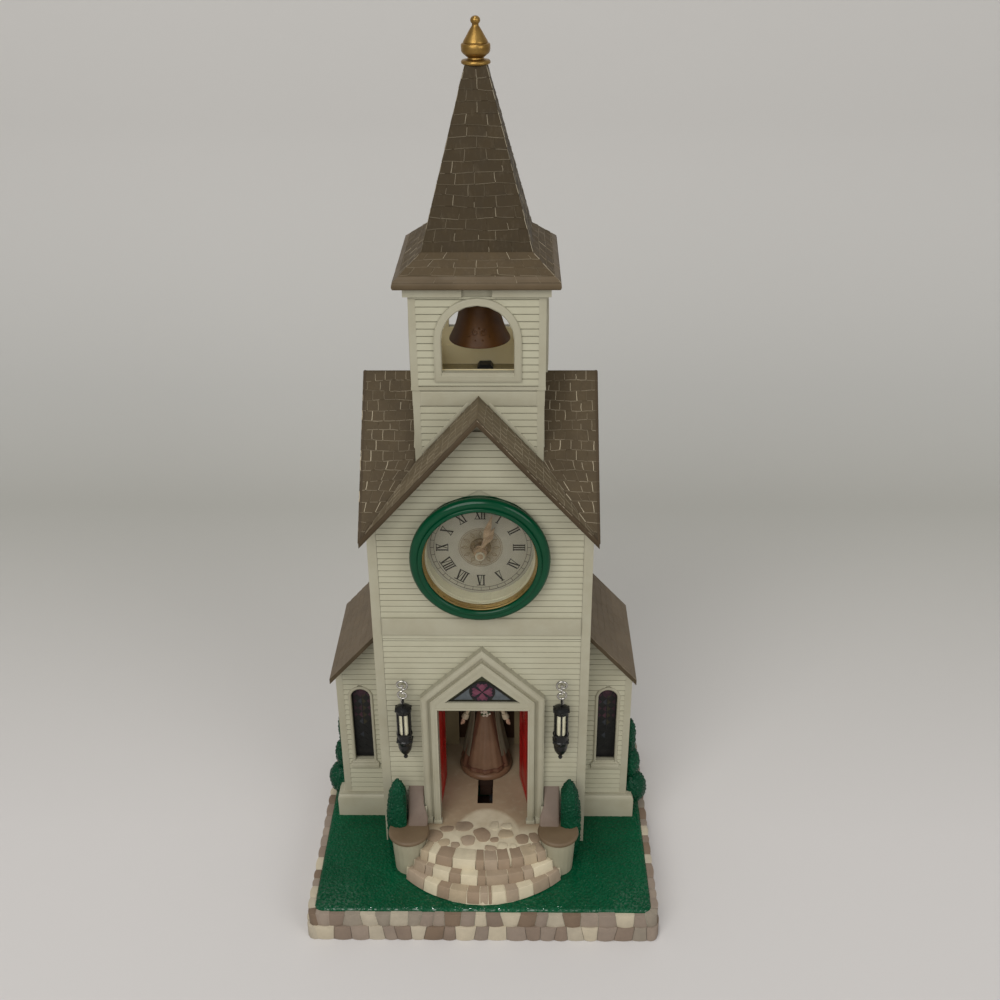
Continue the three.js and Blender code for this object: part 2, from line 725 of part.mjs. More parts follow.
function makeBushes() {
  const leafy = [[0, 0], [0.075, 0], [0.107, 0.073], [0.125, 0.255], [0.128, 0.498], [0.114, 0.7],
    [0.08, 0.862], [0.04, 0.964], [0, 1]];
  const profile = leafy.map(([r, z]) => [r * frontBushHeight, lawnTop + z * frontBushHeight]);
  const bush = cut(turned(profile, capOuter + frontBushOut, cheekY + frontBushBack, 14),
    block([capOuter - 20, capOuter + gap], [cheekY - 20, 0], [0, lawnTop + frontBushHeight + 10]),
    rod(paddleRadius + gap, [0, paddleTop + gap], cheekX, cheekY, 24));
  placePair('front_bush', bush, GREEN, 0.45);
  place(house, 'right_side_shrub', makeShrub(shrubOut, shrubY), GREEN, 0.45);
  place(house, 'left_side_shrub', makeShrub(leftShrubOut, leftShrubY), GREEN, 0.45, undefined, true);
}

// Three clumps on a trunk, cut flush where they meet the wing's wall and plinth.
function makeShrub(out, y) {
  const trunkX = wingHalfWidth + out;
  const clump = (inward, z, [rx, ry, rz], columns, rows) => ball(
    [trunkX - inward * shrubHeight, y, lawnTop + z * shrubHeight],
    [rx * shrubHeight, ry * shrubHeight, rz * shrubHeight], columns, rows);
  return cut(join(
    rod(0.078 * shrubHeight, [lawnTop, lawnTop + 0.21 * shrubHeight], trunkX - 0.4, y, 12),
    clump(0, 0.208, [0.128, 0.128, 0.164], 14, 9),
    clump(0.026, 0.486, [0.08, 0.09, 0.164], 12, 8),
    clump(0.048, 0.755, [0.056, 0.066, 0.21], 10, 8)),
  block([wingHalfWidth - 30, wingHalfWidth + gap], [wingFront - 40, wingBack + 30], [0, lawnTop + 90]),
  block([wingHalfWidth - 30, wingHalfWidth + wingBaseSide + gap],
    [wingFront - wingBaseFront - gap, wingBack + 30], [0, wingBaseTop + gap]));
}

function pentagon(half, foot, shoulder, apex) {
  return [[-half, foot], [half, foot], [half, shoulder], [0, apex], [-half, shoulder]];
}

function makeDoorSurround() {
  const face = caseFront;
  const slope = (surroundApex - surroundShoulder) / surroundHalf;
  const shrink = (inset) => pentagon(surroundHalf - inset, floorTop - 5,
    surroundShoulder - inset * 0.36, surroundApex - inset * Math.hypot(1, slope));
  const valley = surroundHalf - innerBandHalf;
  const bands = join(
    facingFront(shrink(0), [face - surroundBase, face]),
    cut(facingFront(shrink(0), [face - surroundProud + 0.6, face - 1]),
      facingFront(shrink(outerBand), [face - 10, face])),
    facingFront(shrink(valley), [face - surroundProud, face - 1]));
  const lining = block([-doorwayHalf - liningWall, doorwayHalf + liningWall], [face - 1, liningBack],
    [floorTop, doorwayTop + liningWall]);
  const doorway = block([-doorwayHalf, doorwayHalf], [face - 10, liningBack + 5], [0, doorwayTop]);
  const glassHole = [[-glassHalf, glassFoot], [glassHalf, glassFoot], [0, glassApex]];
  const pocket = tympanumOutline(glassLip);
  const below = block([-60, 60], [face - 10, face + 0.01], [0, floorTop]);
  const stepLine = block([-60, 60], [face - 10, liningBack + 5], [0, floorTop]);
  const surround = cut(join(bands, lining), doorway, below, stepLine,
    facingFront(glassHole, [face - 10, face + 0.2]), facingFront(pocket, [face - 1.5, face + 0.2]));
  place(house, 'door_surround', surround, IVORY, 0.45);
  const glass = facingFront(tympanumOutline(glassLip - gap), [face - 1.4, face - gap]);
  place(house, 'tympanum_glass', glass, 0x2a2430, 0.25);
}

function tympanumOutline(grow) {
  const wide = glassHalf + grow * 2.2;
  const tall = glassApex + grow * 1.4;
  return [[-wide, glassFoot - grow], [wide, glassFoot - grow], [0, tall]];
}

function makeDoor(name, side, openDegrees) {
  const hinge = new THREE.Group();
  hinge.position.set(side * doorHingeX, doorHingeY, 0);
  hinge.rotation.z = THREE.MathUtils.degToRad(-side * openDegrees);
  house.add(hinge);
  const foot = floorTop + gap + 0.1;
  const reach = [0, -side * doorWidth].sort((a, b) => a - b);
  const leaf = block(reach, [-doorThickness / 2, doorThickness / 2], [foot, doorTop]);
  const rails = [[foot + 4, 62], [68, doorTop - 6]].map((span) => block(
    [-side * 4.5, -side * (doorWidth - 3.5)].sort((a, b) => a - b), [-5, 0.5 - doorThickness / 2], span));
  const knuckle = rod(doorKnuckle, [foot, doorTop], 0, 0, 12);
  const pin = rod(doorPinRadius, [floorTop - 2, stageCeiling + 1.6], 0, 0, 12);
  place(hinge, name, join(cut(join(leaf, knuckle), ...rails), pin), RED, 0.35);
}

function makeStage() {
  const outerHalf = stageHalf + stageWall;
  const shell = cut(
    block([-outerHalf, outerHalf], [stageFront, stageBack + stageWall],
    [floorTop, stageCeiling + stageWall]),
    block([-stageHalf, stageHalf], [stageFront - 1, stageBack], [floorTop - 1, stageCeiling]));
  const nicheOuter = roundTop(0, nicheHalf + nicheWall, floorTop, nicheSpring);
  const nicheInner = roundTop(0, nicheHalf, floorTop - 1, nicheSpring);
  const niche = facingFront(nicheOuter, [stageBack + 0.5, nicheBack + nicheWall]);
  const pins = [-1, 1].map((side) => rod(doorPinRadius + pinGap,
    [stageCeiling - 1, stageCeiling + stageWall + 1], side * doorHingeX, doorHingeY, 12));
  const stage = cut(join(shell, niche), facingFront(nicheInner, [stageBack - 1, nicheBack]), ...pins);
  place(house, 'stage_box', stage, 0x4a4032, 0.8);
}

// The bride is drawn 1 high with her feet at the origin, then made brideHeight tall on her disc.
function makeBride() {
  const gown = turned([[0, 0], [0.167, 0], [0.174, 0.017], [0.16, 0.094], [0.14, 0.23], [0.116, 0.366],
    [0.089, 0.503], [0.065, 0.613], [0.072, 0.673], [0.08, 0.733], [0.065, 0.784], [0.026, 0.809],
    [0.026, 0.843], [0, 0.843]], 0, 0, 14);
  const head = ball([0, 0, 0.901], [0.068, 0.073, 0.082], 12, 8);
  const veil = cut(
    turned([[0, 0.128], [0.181, 0.128], [0.16, 0.4], [0.126, 0.673], [0.106, 0.877], [0.078, 0.973], [0, 1]],
      0, 0.017, 14),
    turned([[0, 0.111], [0.167, 0.111], [0.147, 0.4], [0.112, 0.673], [0.092, 0.877], [0.065, 0.959],
      [0, 0.983]], 0, 0.017, 14),
    block([-0.4, 0.4], [-0.6, 0.009], [-0.1, 0.939]));
  const comb = block([-0.017, 0.017], [0, 0.119], [0.673, 0.724]);
  const arms = [-1, 1].flatMap((side) => [
    tube([[side * 0.061, 0, 0.748], [side * 0.14, -0.017, 0.605], [side * 0.187, -0.034, 0.503],
      [side * 0.221, -0.043, 0.434]], 0.022, 6, 5),
    ball([side * 0.089, 0, 0.731], [0.046, 0.043, 0.049], 7, 5)]);
  const discTop = floorTop + gap + discThickness;
  const bride = join(gown, head, veil, comb, ...arms).scale(brideHeight).translate(0, figureY, discTop);
  place(house, 'bride_figure', bride, 0xcdbcae, 0.5);

  const discFoot = floorTop + gap;
  const disc = turned([[0, discFoot], [discRadius, discFoot], [discRadius, discFoot + 1.4],
    [discRadius - 1.6, discFoot + discThickness], [0, discFoot + discThickness]], 0, figureY, 20);
  const neck = block([-neckHalf, neckHalf], [figureY - neckHalfLength, figureY + neckHalfLength],
    [rackTop - 0.2, discFoot + 1]);
  place(house, 'figure_carriage', join(disc, neck, rack()), 0x6a4636, 0.6);
}

// A straight toothed bar on the right of the carriage, in mesh with the pinion at rest.
function rack() {
  const bar = block([-rackHalfWidth, rackHalfWidth], [figureY + rackFront, figureY + rackBack],
    [rackBottom, rackTop]);
  const thick = toothPitch * toothShare / 2;
  const lean = Math.tan(THREE.MathUtils.degToRad(20));
  const rootX = rackHalfWidth - 0.2;
  const tipX = rackPitchX + gearModule;
  const rootHalf = thick + (rackPitchX - rackHalfWidth) * lean;
  const tipHalf = thick - gearModule * lean;
  const teeth = [];
  const low = figureY + rackFront + rootHalf;
  const high = figureY + rackBack - rootHalf;
  for (let k = -20; k <= 20; k += 1) {
    const y = pinionY + (k + 0.5) * toothPitch;
    if (y > low && y < high) {
      teeth.push(standing([[rootX, y - rootHalf], [tipX, y - tipHalf], [tipX, y + tipHalf],
        [rootX, y + rootHalf]], [rackBottom, rackTop]));
    }
  }
  return join(bar, ...teeth);
}

function makeDrive() {
  const rootRadius = pitchRadius - 1.25 * gearModule;
  const tipRadius = pitchRadius + gearModule;
  const pitchHalf = toothPitch * toothShare / 2 / pitchRadius;
  const points = [];
  for (let k = 0; k < pinionTeeth; k += 1) {
    const mid = k * 2 * Math.PI / pinionTeeth;
    for (const [r, turn] of [[rootRadius, -pitchHalf * 1.7], [pitchRadius, -pitchHalf],
      [tipRadius, -pitchHalf * 0.42],
      [tipRadius, pitchHalf * 0.42], [pitchRadius, pitchHalf], [rootRadius, pitchHalf * 1.7]]) {
      points.push([pinionX + r * Math.cos(mid + turn), pinionY + r * Math.sin(mid + turn)]);
    }
  }
  const boxTop = 23.4;
  const pinion = join(standing(points, [rackBottom + 0.4, rackTop - 0.6]),
    rod(2.6, [boxTop + gap, rackBottom + 0.6], pinionX, pinionY, 12),
    rod(1, [lawnTop + 1.4, rackBottom + 1], pinionX, pinionY, 12));
  place(house, 'drive_pinion', pinion, 0xe6e0cc, 0.5);

  const motor = cut(join(
    block([pinionX - 7, pinionX + 9], [pinionY - 8, pinionY + 8], [lawnTop, boxTop]),
    block([pinionX + 6, pinionX + 24], [pinionY - 6, pinionY + 6], [lawnTop, boxTop + 4])),
  rod(1 + pinGap, [lawnTop + 1, boxTop + 1], pinionX, pinionY, 12));
  place(house, 'drive_motor', motor, GREY, 0.5, 0.4);
}

function makeClock() {
  const bezelFront = caseFront - bezelProud;
  const rebate = wellFront - gap;
  const bezel = turnedAlongY([[bezelInner, rebate], [bezelInner, bezelFront + 1.6],
    [bezelInner + 0.7, bezelFront + 0.6],
    [28.9, bezelFront], [bezelOuter - 0.7, bezelFront + 0.9], [bezelOuter, bezelFront + 2.6],
    [bezelOuter - 0.3, caseFront], [wellOuter + 0.7, caseFront], [wellOuter + 0.7, rebate],
      [bezelInner, rebate]],
  0, clockZ, 40);
  place(house, 'clock_bezel', bezel, GREEN, 0.35);

  const well = turnedAlongY([[wellInner, wellFront], [wellOuter, wellFront], [wellOuter, dialFront],
    [wellInner, dialFront], [wellInner, wellFront]], 0, clockZ, 32);
  place(house, 'clock_well', well, IVORY, 0.5);

  const lensSeat = ringFront + 1.2;
  const ring = turnedAlongY([[lensRadius + gap, ringFront], [bezelInner - gap, ringFront],
    [bezelInner - gap, wellFront], [wellInner + 0.3, wellFront], [wellInner + 0.3, lensSeat],
    [lensRadius + gap, lensSeat], [lensRadius + gap, ringFront]], 0, clockZ, 40);
  place(house, 'gold_ring', ring, BRASS, 0.3, 0.9);

  const lens = turnedAlongY([[0, lensSeat - lensThickness - 0.6], [10, lensSeat - lensThickness - 0.5],
    [lensRadius, lensSeat - lensThickness], [lensRadius, lensSeat], [0, lensSeat]], 0, clockZ, 40);
  place(house, 'clock_lens', lens, 0xffffff, 0.05);

  const dialBack = dialFront + dialThickness;
  const bushRadius = 3.6;
  const dial = turnedAlongY([[bushRadius + gap, dialFront], [dialRadius, dialFront], [dialRadius, dialBack],
    [bushRadius + gap, dialBack], [bushRadius + gap, dialFront]], 0, clockZ, 32);
  place(house, 'clock_dial', dial, 0xd9d2be, 0.5);

  const pipeOuter = 2.5;
  const pipeInner = 1.8;
  const arbor = 1.4;
  const movementBack = dialBack + movementDepth;
  const movement = cut(join(
    block([-movementHalf, movementHalf], [dialBack, movementBack],
    [clockZ - movementHalf, clockZ + movementHalf]),
    turnedAlongY([[0, dialFront - 0.8], [bushRadius, dialFront - 0.8], [bushRadius, dialBack + 1],
      [0, dialBack + 1]], 0, clockZ, 16)),
  turnedAlongY([[0, dialFront - 2], [pipeOuter + pinGap, dialFront - 2], [pipeOuter + pinGap, dialBack + 6],
    [0, dialBack + 6]], 0, clockZ, 16),
  turnedAlongY([[0, movementBack - 3], [1.5 + pinGap, movementBack - 3], [1.5 + pinGap, movementBack + 1],
    [0, movementBack + 1]], 0, clockZ - 12, 12));
  place(house, 'clock_movement', movement, 0x2b2d2e, 0.6);

  const hourY = dialFront - 3.6;
  const hour = cut(join(
    turnedAlongY([[0, hourY], [3.1, hourY], [3.1, hourY + 0.5], [pipeOuter, hourY + 0.5],
      [pipeOuter, dialBack + 5], [0, dialBack + 5]], 0, clockZ, 16),
    handBlade(hourAngle, 13.5, 1.5, [hourY, hourY + 0.5])),
  turnedAlongY([[0, hourY - 1], [pipeInner, hourY - 1], [pipeInner, dialBack + 6],
    [0, dialBack + 6]], 0, clockZ, 16));
  place(house, 'hour_hand', hour, BRASS, 0.35, 0.8);

  const minuteY = dialFront - 4.9;
  const minute = join(
    turnedAlongY([[0, dialFront - 8.1], [1.2, dialFront - 8.1], [1.5, dialFront - 7.6], [1.5, minuteY - 0.5],
      [2.8, minuteY - 0.5], [2.8, minuteY + 0.5], [arbor, minuteY + 0.5], [arbor, dialBack + 5.4],
        [0, dialBack + 5.4]],
    0, clockZ, 16),
    handBlade(minuteAngle, 19.5, 1.2, [minuteY, minuteY + 0.5]));
  place(house, 'minute_hand', minute, BRASS, 0.35, 0.8);

  const knob = turnedAlongY([[0, movementBack - 2.4], [1.5, movementBack - 2.4], [1.5, movementBack + gap],
    [5.5, movementBack + gap], [5.5, movementBack + 5], [0, movementBack + 5]], 0, clockZ - 12, 16);
  place(house, 'time_set_knob', knob, BLACK, 0.6);
}

// A leaf-shaped clock hand, turned clockwise from twelve by the angle as the front shows it.
function handBlade(degrees, length, half, [y0, y1]) {
  const angle = THREE.MathUtils.degToRad(degrees);
  const outline = [[-half * 0.4, 0], [half * 0.4, 0], [half * 0.5, length * 0.45], [half, length * 0.62],
    [half * 0.35, length * 0.8], [0.15, length], [-0.15, length], [-half * 0.35, length * 0.8],
    [-half, length * 0.62], [-half * 0.5, length * 0.45]];
  const turnedOutline = outline.map(([x, z]) => [
    x * Math.cos(angle) + z * Math.sin(angle),
    clockZ - x * Math.sin(angle) + z * Math.cos(angle)]);
  return facingFront(turnedOutline, [y0, y1]);
}

function makeBell() {
  const outer = [[bellRadius, bellRimZ], [12.9, bellRimZ + 1.6], [10.9, bellRimZ + 6],
    [9.3, bellRimZ + 12.6], [8.4, bellRimZ + 17.2], [4.6, bellRimZ + 20.4], [1.8, bellRimZ + 21.2]];
  const inner = [[11.8, bellRimZ], [9.5, bellRimZ + 6.4], [8, bellRimZ + 12.6], [7, bellRimZ + 16.4],
    [0, bellRimZ + 18.6]];
  const crownZ = bellPivotZ;
  const crown = cut(turnedAlongX([[0, -1.4], [2.6, -1.4], [2.6, 1.4], [0, 1.4]], 0, crownZ, 16),
    turnedAlongX([[0, -3], [0.8 + pinGap, -3], [0.8 + pinGap, 3], [0, 3]], 0, crownZ, 12));
  const cup = turned([...inner.reverse(), ...outer, [0, bellRimZ + 21.2]], 0, 0, 20);
  const stem = rod(1.4, [bellRimZ + 21, crownZ - 1.5], 0, 0, 10);
  const staple = [-1, 1].map((side) => block([side * 2.1 - 0.5, side * 2.1 + 0.5], [-1.3, 1.3],
    [clapperPivotZ - 1.3, bellRimZ + 19]));
  const staplePin = turnedAlongX([[0, -2.3], [0.6, -2.3], [0.6, 2.3], [0, 2.3]], 0, clapperPivotZ, 10);
  place(house, 'bell', join(cup, stem, crown, ...staple, staplePin), 0x6b3f1c, 0.4, 0.7);

  const clapper = join(
    cut(turnedAlongX([[0, -1.1], [1.6, -1.1], [1.6, 1.1], [0, 1.1]], 0, clapperPivotZ, 12),
      turnedAlongX([[0, -2], [0.6 + pinGap, -2], [0.6 + pinGap, 2], [0, 2]], 0, clapperPivotZ, 10)),
    rod(0.7, [bellRimZ + 3, clapperPivotZ - 1.2], 0, 0, 8),
    ball([0, 0, bellRimZ + 2.6], [2.5, 2.5, 2.7], 10, 7));
  place(house, 'bell_clapper', clapper, 0x4a2c16, 0.5, 0.6);

  const plateHalf = belfryHalf - towerProud - wall - gap;
  const plateFoot = spireBottom - 2;
  const ears = [-1, 1].map((side) => block([side * 3.4 - 0.8, side * 3.4 + 0.8], [-2.4, 2.4],
    [bellPivotZ - 2, plateFoot + 0.5]));
  const pin = turnedAlongX([[0, -3.8], [0.8, -3.8], [0.8, 3.8], [0, 3.8]], 0, bellPivotZ, 12);
  const hanger = join(block([-plateHalf, plateHalf], [-plateHalf, plateHalf],
    [plateFoot, spireBottom]), ...ears, pin);
  place(house, 'bell_hanger', hanger, IVORY, 0.6);

  const coilFront = 19;
  const coilFoot = belfryFloorTop + 0.7;
  const coil = join(
    block([-2, 5.2], [coilFront, coilFront + 5], [belfryFloorTop, coilFoot]),
    facingFront([[-2, coilFoot - 0.1], [5.2, coilFoot - 0.1], [4.1, coilFoot + 1.4], [-0.9, coilFoot + 1.4]],
      [coilFront, coilFront + 5]));
  place(house, 'bell_magnet', coil, BLACK, 0.6);
}

function makeLanterns() {
  const foot = lanternFoot;
  const paneLow = foot + 7;
  const paneHigh = foot + 21;
  const r = lanternRadius;
  const body = turned([[0, foot], [0.8, foot], [1, foot + 1.2], [r - 0.5, foot + 4.6], [r - 0.5, foot + 5.4],
    [r - 0.8, foot + 5.8], [r - 0.8, paneHigh + 1], [r, paneHigh + 2], [r, paneHigh + 3],
    [2, paneHigh + 6.4],
    [0.9, paneHigh + 9], [0.9, lanternTop - 0.6], [0, lanternTop - 0.6]], lanternX, lanternY, 12);
  const core = r - 1.7;
  const pane = rod(core, [paneLow - 1, paneHigh + 1], lanternX, lanternY, 12);
  const windows = [0, 60, 120].map((degrees) => cut(toSolid(
    new THREE.BoxGeometry(20, 2, paneHigh - paneLow).rotateZ(THREE.MathUtils.degToRad(degrees + 30))
      .translate(lanternX, lanternY, (paneLow + paneHigh) / 2)), pane));
  const eye = toSolid(new THREE.TorusGeometry(1.55, 0.45, 5, 12).rotateY(Math.PI / 2)
    .translate(lanternX, lanternY, hookPivotZ));
  const neck = rod(0.6, [lanternTop - 1.6, hookPivotZ - 1.4], lanternX, lanternY, 8);
  const lantern = join(cut(body, ...windows), neck, eye);
  placePair('lantern', lantern, BLACK, 0.4);

  const s = 2.6;
  const hook = tube([
    [lanternX - s * 0.9, lanternY, hookPivotZ + 2.2], [lanternX - s * 0.8, lanternY, hookPivotZ + 0.6],
    [lanternX, lanternY, hookPivotZ], [lanternX + s * 0.9, lanternY, hookPivotZ + 1.2],
    [lanternX + s, lanternY, hookPivotZ + 3.4], [lanternX, lanternY, hookPivotZ + 5.2],
    [lanternX - s, lanternY, hookPivotZ + 7], [lanternX - s * 0.8, lanternY, hookTop - 1],
    [lanternX, lanternY, hookTop - 0.4], [lanternX + s * 0.9, lanternY, hookTop - 1.4],
    [lanternX + s * 0.8, lanternY, hookTop - 3]], hookWire, 5, 22);
  const stud = turnedAlongY([[0, lanternY - 0.6], [1, lanternY - 0.6], [1, caseFront - 1],
    [2.2, caseFront - 0.6], [2.2, caseFront], [0, caseFront]], lanternX - 0.4, hookTop - 0.5, 12);
  placePair('lantern_hook', join(hook, stud), STEEL, 0.25, 1);
}

function rearScrewPlaces() {
  const x = rearHalf - 2.5;
  return [[-x, rearScrewZ], [x, rearScrewZ]];
}

function makeRear() {
  const inFace = caseBack;
  const outFace = caseBack + rearThickness;
  const outline = rectangle([-rearHalf, rearHalf], [rearFoot, rearTop]);
  const bay = rectangle([-bayHalf, bayHalf], [bayFoot, bayTop]);
  const slots = [];
  for (let i = -3; i <= 3; i += 1) {
    const half = Math.sqrt(speakerRadius ** 2 - (i * 5) ** 2) - 3;
    slots.push(rectangle([-half, half], [speakerZ + i * 5 - 1, speakerZ + i * 5 + 1]));
  }
  const switchSlot = rectangle([switchX - 5, switchX + 5], [controlZ - 1.7, controlZ + 1.7]);
  const buttonHole = arc(buttonX, controlZ, 3.4 + pinGap, 0, 337.5, 15);
  const screwHoles = rearScrewPlaces().map(([x, z]) => arc(x, z, 1.4, 0, 324, 9));
  const plate = facingFront(outline, [inFace, outFace], [bay, switchSlot, buttonHole, ...slots,
    ...screwHoles]);
  const hingeY = outFace + 1.4;
  const hingeZ = bayFoot - 2.6;
  const hingeEars = [-1, 1].map((side) => {
    const x = side * (bayHalf - 3);
    return block([x - 1.2, x + 1.2], [outFace - 0.5, hingeY + 1.2], [hingeZ - 1.3, hingeZ + 1.2]);
  });
  const cups = join(
    block([switchX - 8, switchX + 8], [inFace - 5.5, inFace + 0.5], [controlZ - 4, controlZ + 4]),
    block([buttonX - 6, buttonX + 6], [inFace - 6.5, inFace + 0.5], [controlZ - 6, controlZ + 6]));
  const cupRooms = [
    block([switchX - 7, switchX + 7], [inFace - 4.5, inFace], [controlZ - 3, controlZ + 3]),
    block([switchX - 5, switchX + 5], [inFace - 4.5, outFace + 1], [controlZ - 1.7, controlZ + 1.7]),
    block([buttonX - 5, buttonX + 5], [inFace - 5.5, inFace], [controlZ - 5, controlZ + 5]),
    turnedAlongY([[0, inFace - 1], [3.4 + pinGap, inFace - 1], [3.4 + pinGap, outFace + 1],
      [0, outFace + 1]], buttonX, controlZ, 16)];
  const pinHoles = turnedAlongX([[0, -bayHalf], [0.7 + pinGap, -bayHalf], [0.7 + pinGap, bayHalf],
    [0, bayHalf]], hingeY, hingeZ, 12);
  const trayFront = inFace - bayDepth;
  const tray = cut(
    block([-bayHalf - 1.5, bayHalf + 1.5], [trayFront - 1.5, inFace + 0.5], [bayFoot - 1.5, bayTop + 1.5]),
    block([-bayHalf, bayHalf], [trayFront, inFace + 1], [bayFoot, bayTop]));
  place(house, 'rear_cover', cut(join(plate, tray, cups, ...hingeEars), ...cupRooms, pinHoles), IVORY, 0.55);

  const doorFoot = bayFoot - 0.6;
  const leaf = join(
    block([-bayHalf - 1.5, bayHalf + 1.5], [outFace + gap, outFace + 1.8], [doorFoot, bayTop + 1.5]),
    block([-bayHalf + 5, bayHalf - 5], [hingeY - 0.9, hingeY + 0.9], [hingeZ - 0.9, doorFoot + 0.5]),
    turnedAlongX([[0, -bayHalf + 1], [0.7, -bayHalf + 1], [0.7, bayHalf - 1],
    [0, bayHalf - 1]], hingeY, hingeZ, 12),
    block([-4, 4], [outFace + 1.6, outFace + 3], [bayTop - 3, bayTop]));
  place(house, 'battery_door', leaf, IVORY, 0.55);

  [0, 1].forEach((i) => {
    const z = bayFoot + gap + cellRadius + i * (2 * cellRadius + gap);
    const cell = turnedAlongX([[0, -cellLength / 2], [2.6, -cellLength / 2],
      [cellRadius, -cellLength / 2 + 1],
      [cellRadius, cellLength / 2 - 1.5], [2.8, cellLength / 2 - 1.5], [2.8, cellLength / 2],
        [0, cellLength / 2]],
    inFace - cellRadius - gap, z, 16);
    place(house, `battery_cell_${i + 1}`, cell, 0x2f5f8a, 0.4, 0.3);
  });

  rearScrewPlaces().forEach(([x, z], i) => {
    const screw = cut(turnedAlongY([[0, inFace - 4.5], [1, inFace - 4.5], [1, outFace], [2.3, outFace],
      [2.3, outFace + 0.8], [1.6, outFace + 1.5], [0, outFace + 1.5]], x, z, 12),
    block([x - 2, x + 2], [outFace + 0.9, outFace + 3], [z - 0.3, z + 0.3]));
    place(house, `cover_screw_${i + 1}`, screw, STEEL, 0.35, 1);
  });

  const speaker = turnedAlongY([[0, inFace - speakerDepth], [9, inFace - speakerDepth],
    [9, inFace - speakerDepth + 3.5],
    [speakerRadius - 3, inFace - 2], [speakerRadius, inFace - 1.6], [speakerRadius, inFace],
    [speakerRadius - 2, inFace], [9, inFace - 4], [0, inFace - 2.8]],
  0, speakerZ, 16);
  place(house, 'speaker', speaker, BLACK, 0.7);

  const slider = join(
    block([switchX - 4.8, switchX + 1.6], [inFace - 4.2, inFace - gap], [controlZ - 2.6, controlZ + 2.6]),
    block([switchX - 3.2, switchX], [inFace - 1, outFace + 1.6], [controlZ - 1.4, controlZ + 1.4]));
  place(house, 'music_switch', slider, BLACK, 0.5);

  const button = turnedAlongY([[0, inFace - 2.6], [4.4, inFace - 2.6], [4.4, inFace - gap],
    [3.4, inFace - gap],
    [3.4, outFace + 1.8], [2.8, outFace + 2.4], [0, outFace + 2.4]], buttonX, controlZ, 16);
  place(house, 'play_button', button, RED, 0.5);

  const hatchSpan = hatchHalf + hatchPinReach;
  const hatch = join(
    block([-hatchHalf + gap, hatchHalf - gap], [caseBack - wall + 0.2, caseBack],
      [hatchHingeZ + 0.8, hatchTop - gap]),
    block([-hatchHalf + 6, hatchHalf - 6], [hatchHingeY - 0.8, hatchHingeY + 0.8],
      [hatchHingeZ - 0.9, hatchHingeZ + 1.2]),
    turnedAlongX([[0, -hatchSpan], [hatchPinRadius, -hatchSpan], [hatchPinRadius, hatchSpan],
      [0, hatchSpan]], hatchHingeY, hatchHingeZ, 10),
    block([-5, 5], [caseBack - 0.5, caseBack + 1.6], [hatchTop - 6, hatchTop - 3]));
  place(house, 'rear_hatch', hatch, IVORY, 0.55);
}

makeBase();
makeLowerCase();
makeUpperCase();
makeMainRoof();
makeTowerLower();
makeBelfry();
makeSpire();
makeWings();
makeSteps();
makeCheeks();
makeBushes();
makeDoorSurround();
makeDoor('left_door', -1, leftDoorOpen);
makeDoor('right_door', 1, rightDoorOpen);
makeStage();
makeBride();
makeDrive();
makeClock();
makeBell();
makeLanterns();
makeRear();

export default clock;
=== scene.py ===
# %% [markdown]
# # A church-shaped musical clock
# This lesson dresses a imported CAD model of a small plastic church: a clock in its gable, a bell in its
# belfry, a bride on a sliding disc behind two red doors, and a stone-edged lawn underneath.
# The CAD model gives every size and every moving body. The cells below add what a moulded toy shows
# close up: boards, shingles, stones, mouldings, numerals, leaves and paint.

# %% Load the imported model
import math
import random
from math import cos, pi, radians, sin, sqrt

import bmesh
import bpy
from mathutils import Matrix, Vector
from mathutils import noise as wave_noise


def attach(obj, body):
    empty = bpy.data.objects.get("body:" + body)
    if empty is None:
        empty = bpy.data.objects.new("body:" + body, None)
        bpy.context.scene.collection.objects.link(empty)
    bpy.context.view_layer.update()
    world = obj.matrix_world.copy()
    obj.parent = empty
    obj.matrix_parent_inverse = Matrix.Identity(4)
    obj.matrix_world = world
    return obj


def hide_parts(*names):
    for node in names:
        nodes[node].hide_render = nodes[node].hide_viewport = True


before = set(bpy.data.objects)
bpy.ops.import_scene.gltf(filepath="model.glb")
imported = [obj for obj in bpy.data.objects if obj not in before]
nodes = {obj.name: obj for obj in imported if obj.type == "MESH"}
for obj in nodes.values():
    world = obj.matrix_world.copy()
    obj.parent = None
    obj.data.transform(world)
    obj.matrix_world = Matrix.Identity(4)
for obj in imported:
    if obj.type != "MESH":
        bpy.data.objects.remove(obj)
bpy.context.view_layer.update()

# %% [markdown]
# ## Two frames of measurement
# The church is easiest to draw in millimetres with the tower's axis at x = 0, y = 0. That axis stands
# 15 mm behind the middle of the base. Each finished mesh is scaled and moved once, in the mesh itself,
# so every object stays at the origin, where the patterns that read Object coordinates expect it.

# %% Frames and random numbers
MM = 0.001
HOUSE = Matrix.Translation((0, 0.015, 0)) @ Matrix.Scale(MM, 4)
BASE = Matrix.Scale(MM, 4)
chance = random.Random(1886)
triangles_made = {}
print("tower axis:", HOUSE.translation)

# %% [markdown]
# ## Colour and finish helpers
# Nothing on the toy is one flat colour: moulded plastic has soft mottling, a fine skin and worn edges.
# `tone` turns a colour as a painter reads it (0 to 255) into the linear numbers that shaders use.
# `start_finish` makes a material with a Principled shader whose constants sit on its own sockets.


# %% Colour and finish helpers
def tone(red, green, blue):
    def linear(value):
        share = value / 255
        return share / 12.92 if share <= 0.04045 else ((share + 0.055) / 1.055) ** 2.4
    return (linear(red), linear(green), linear(blue), 1)


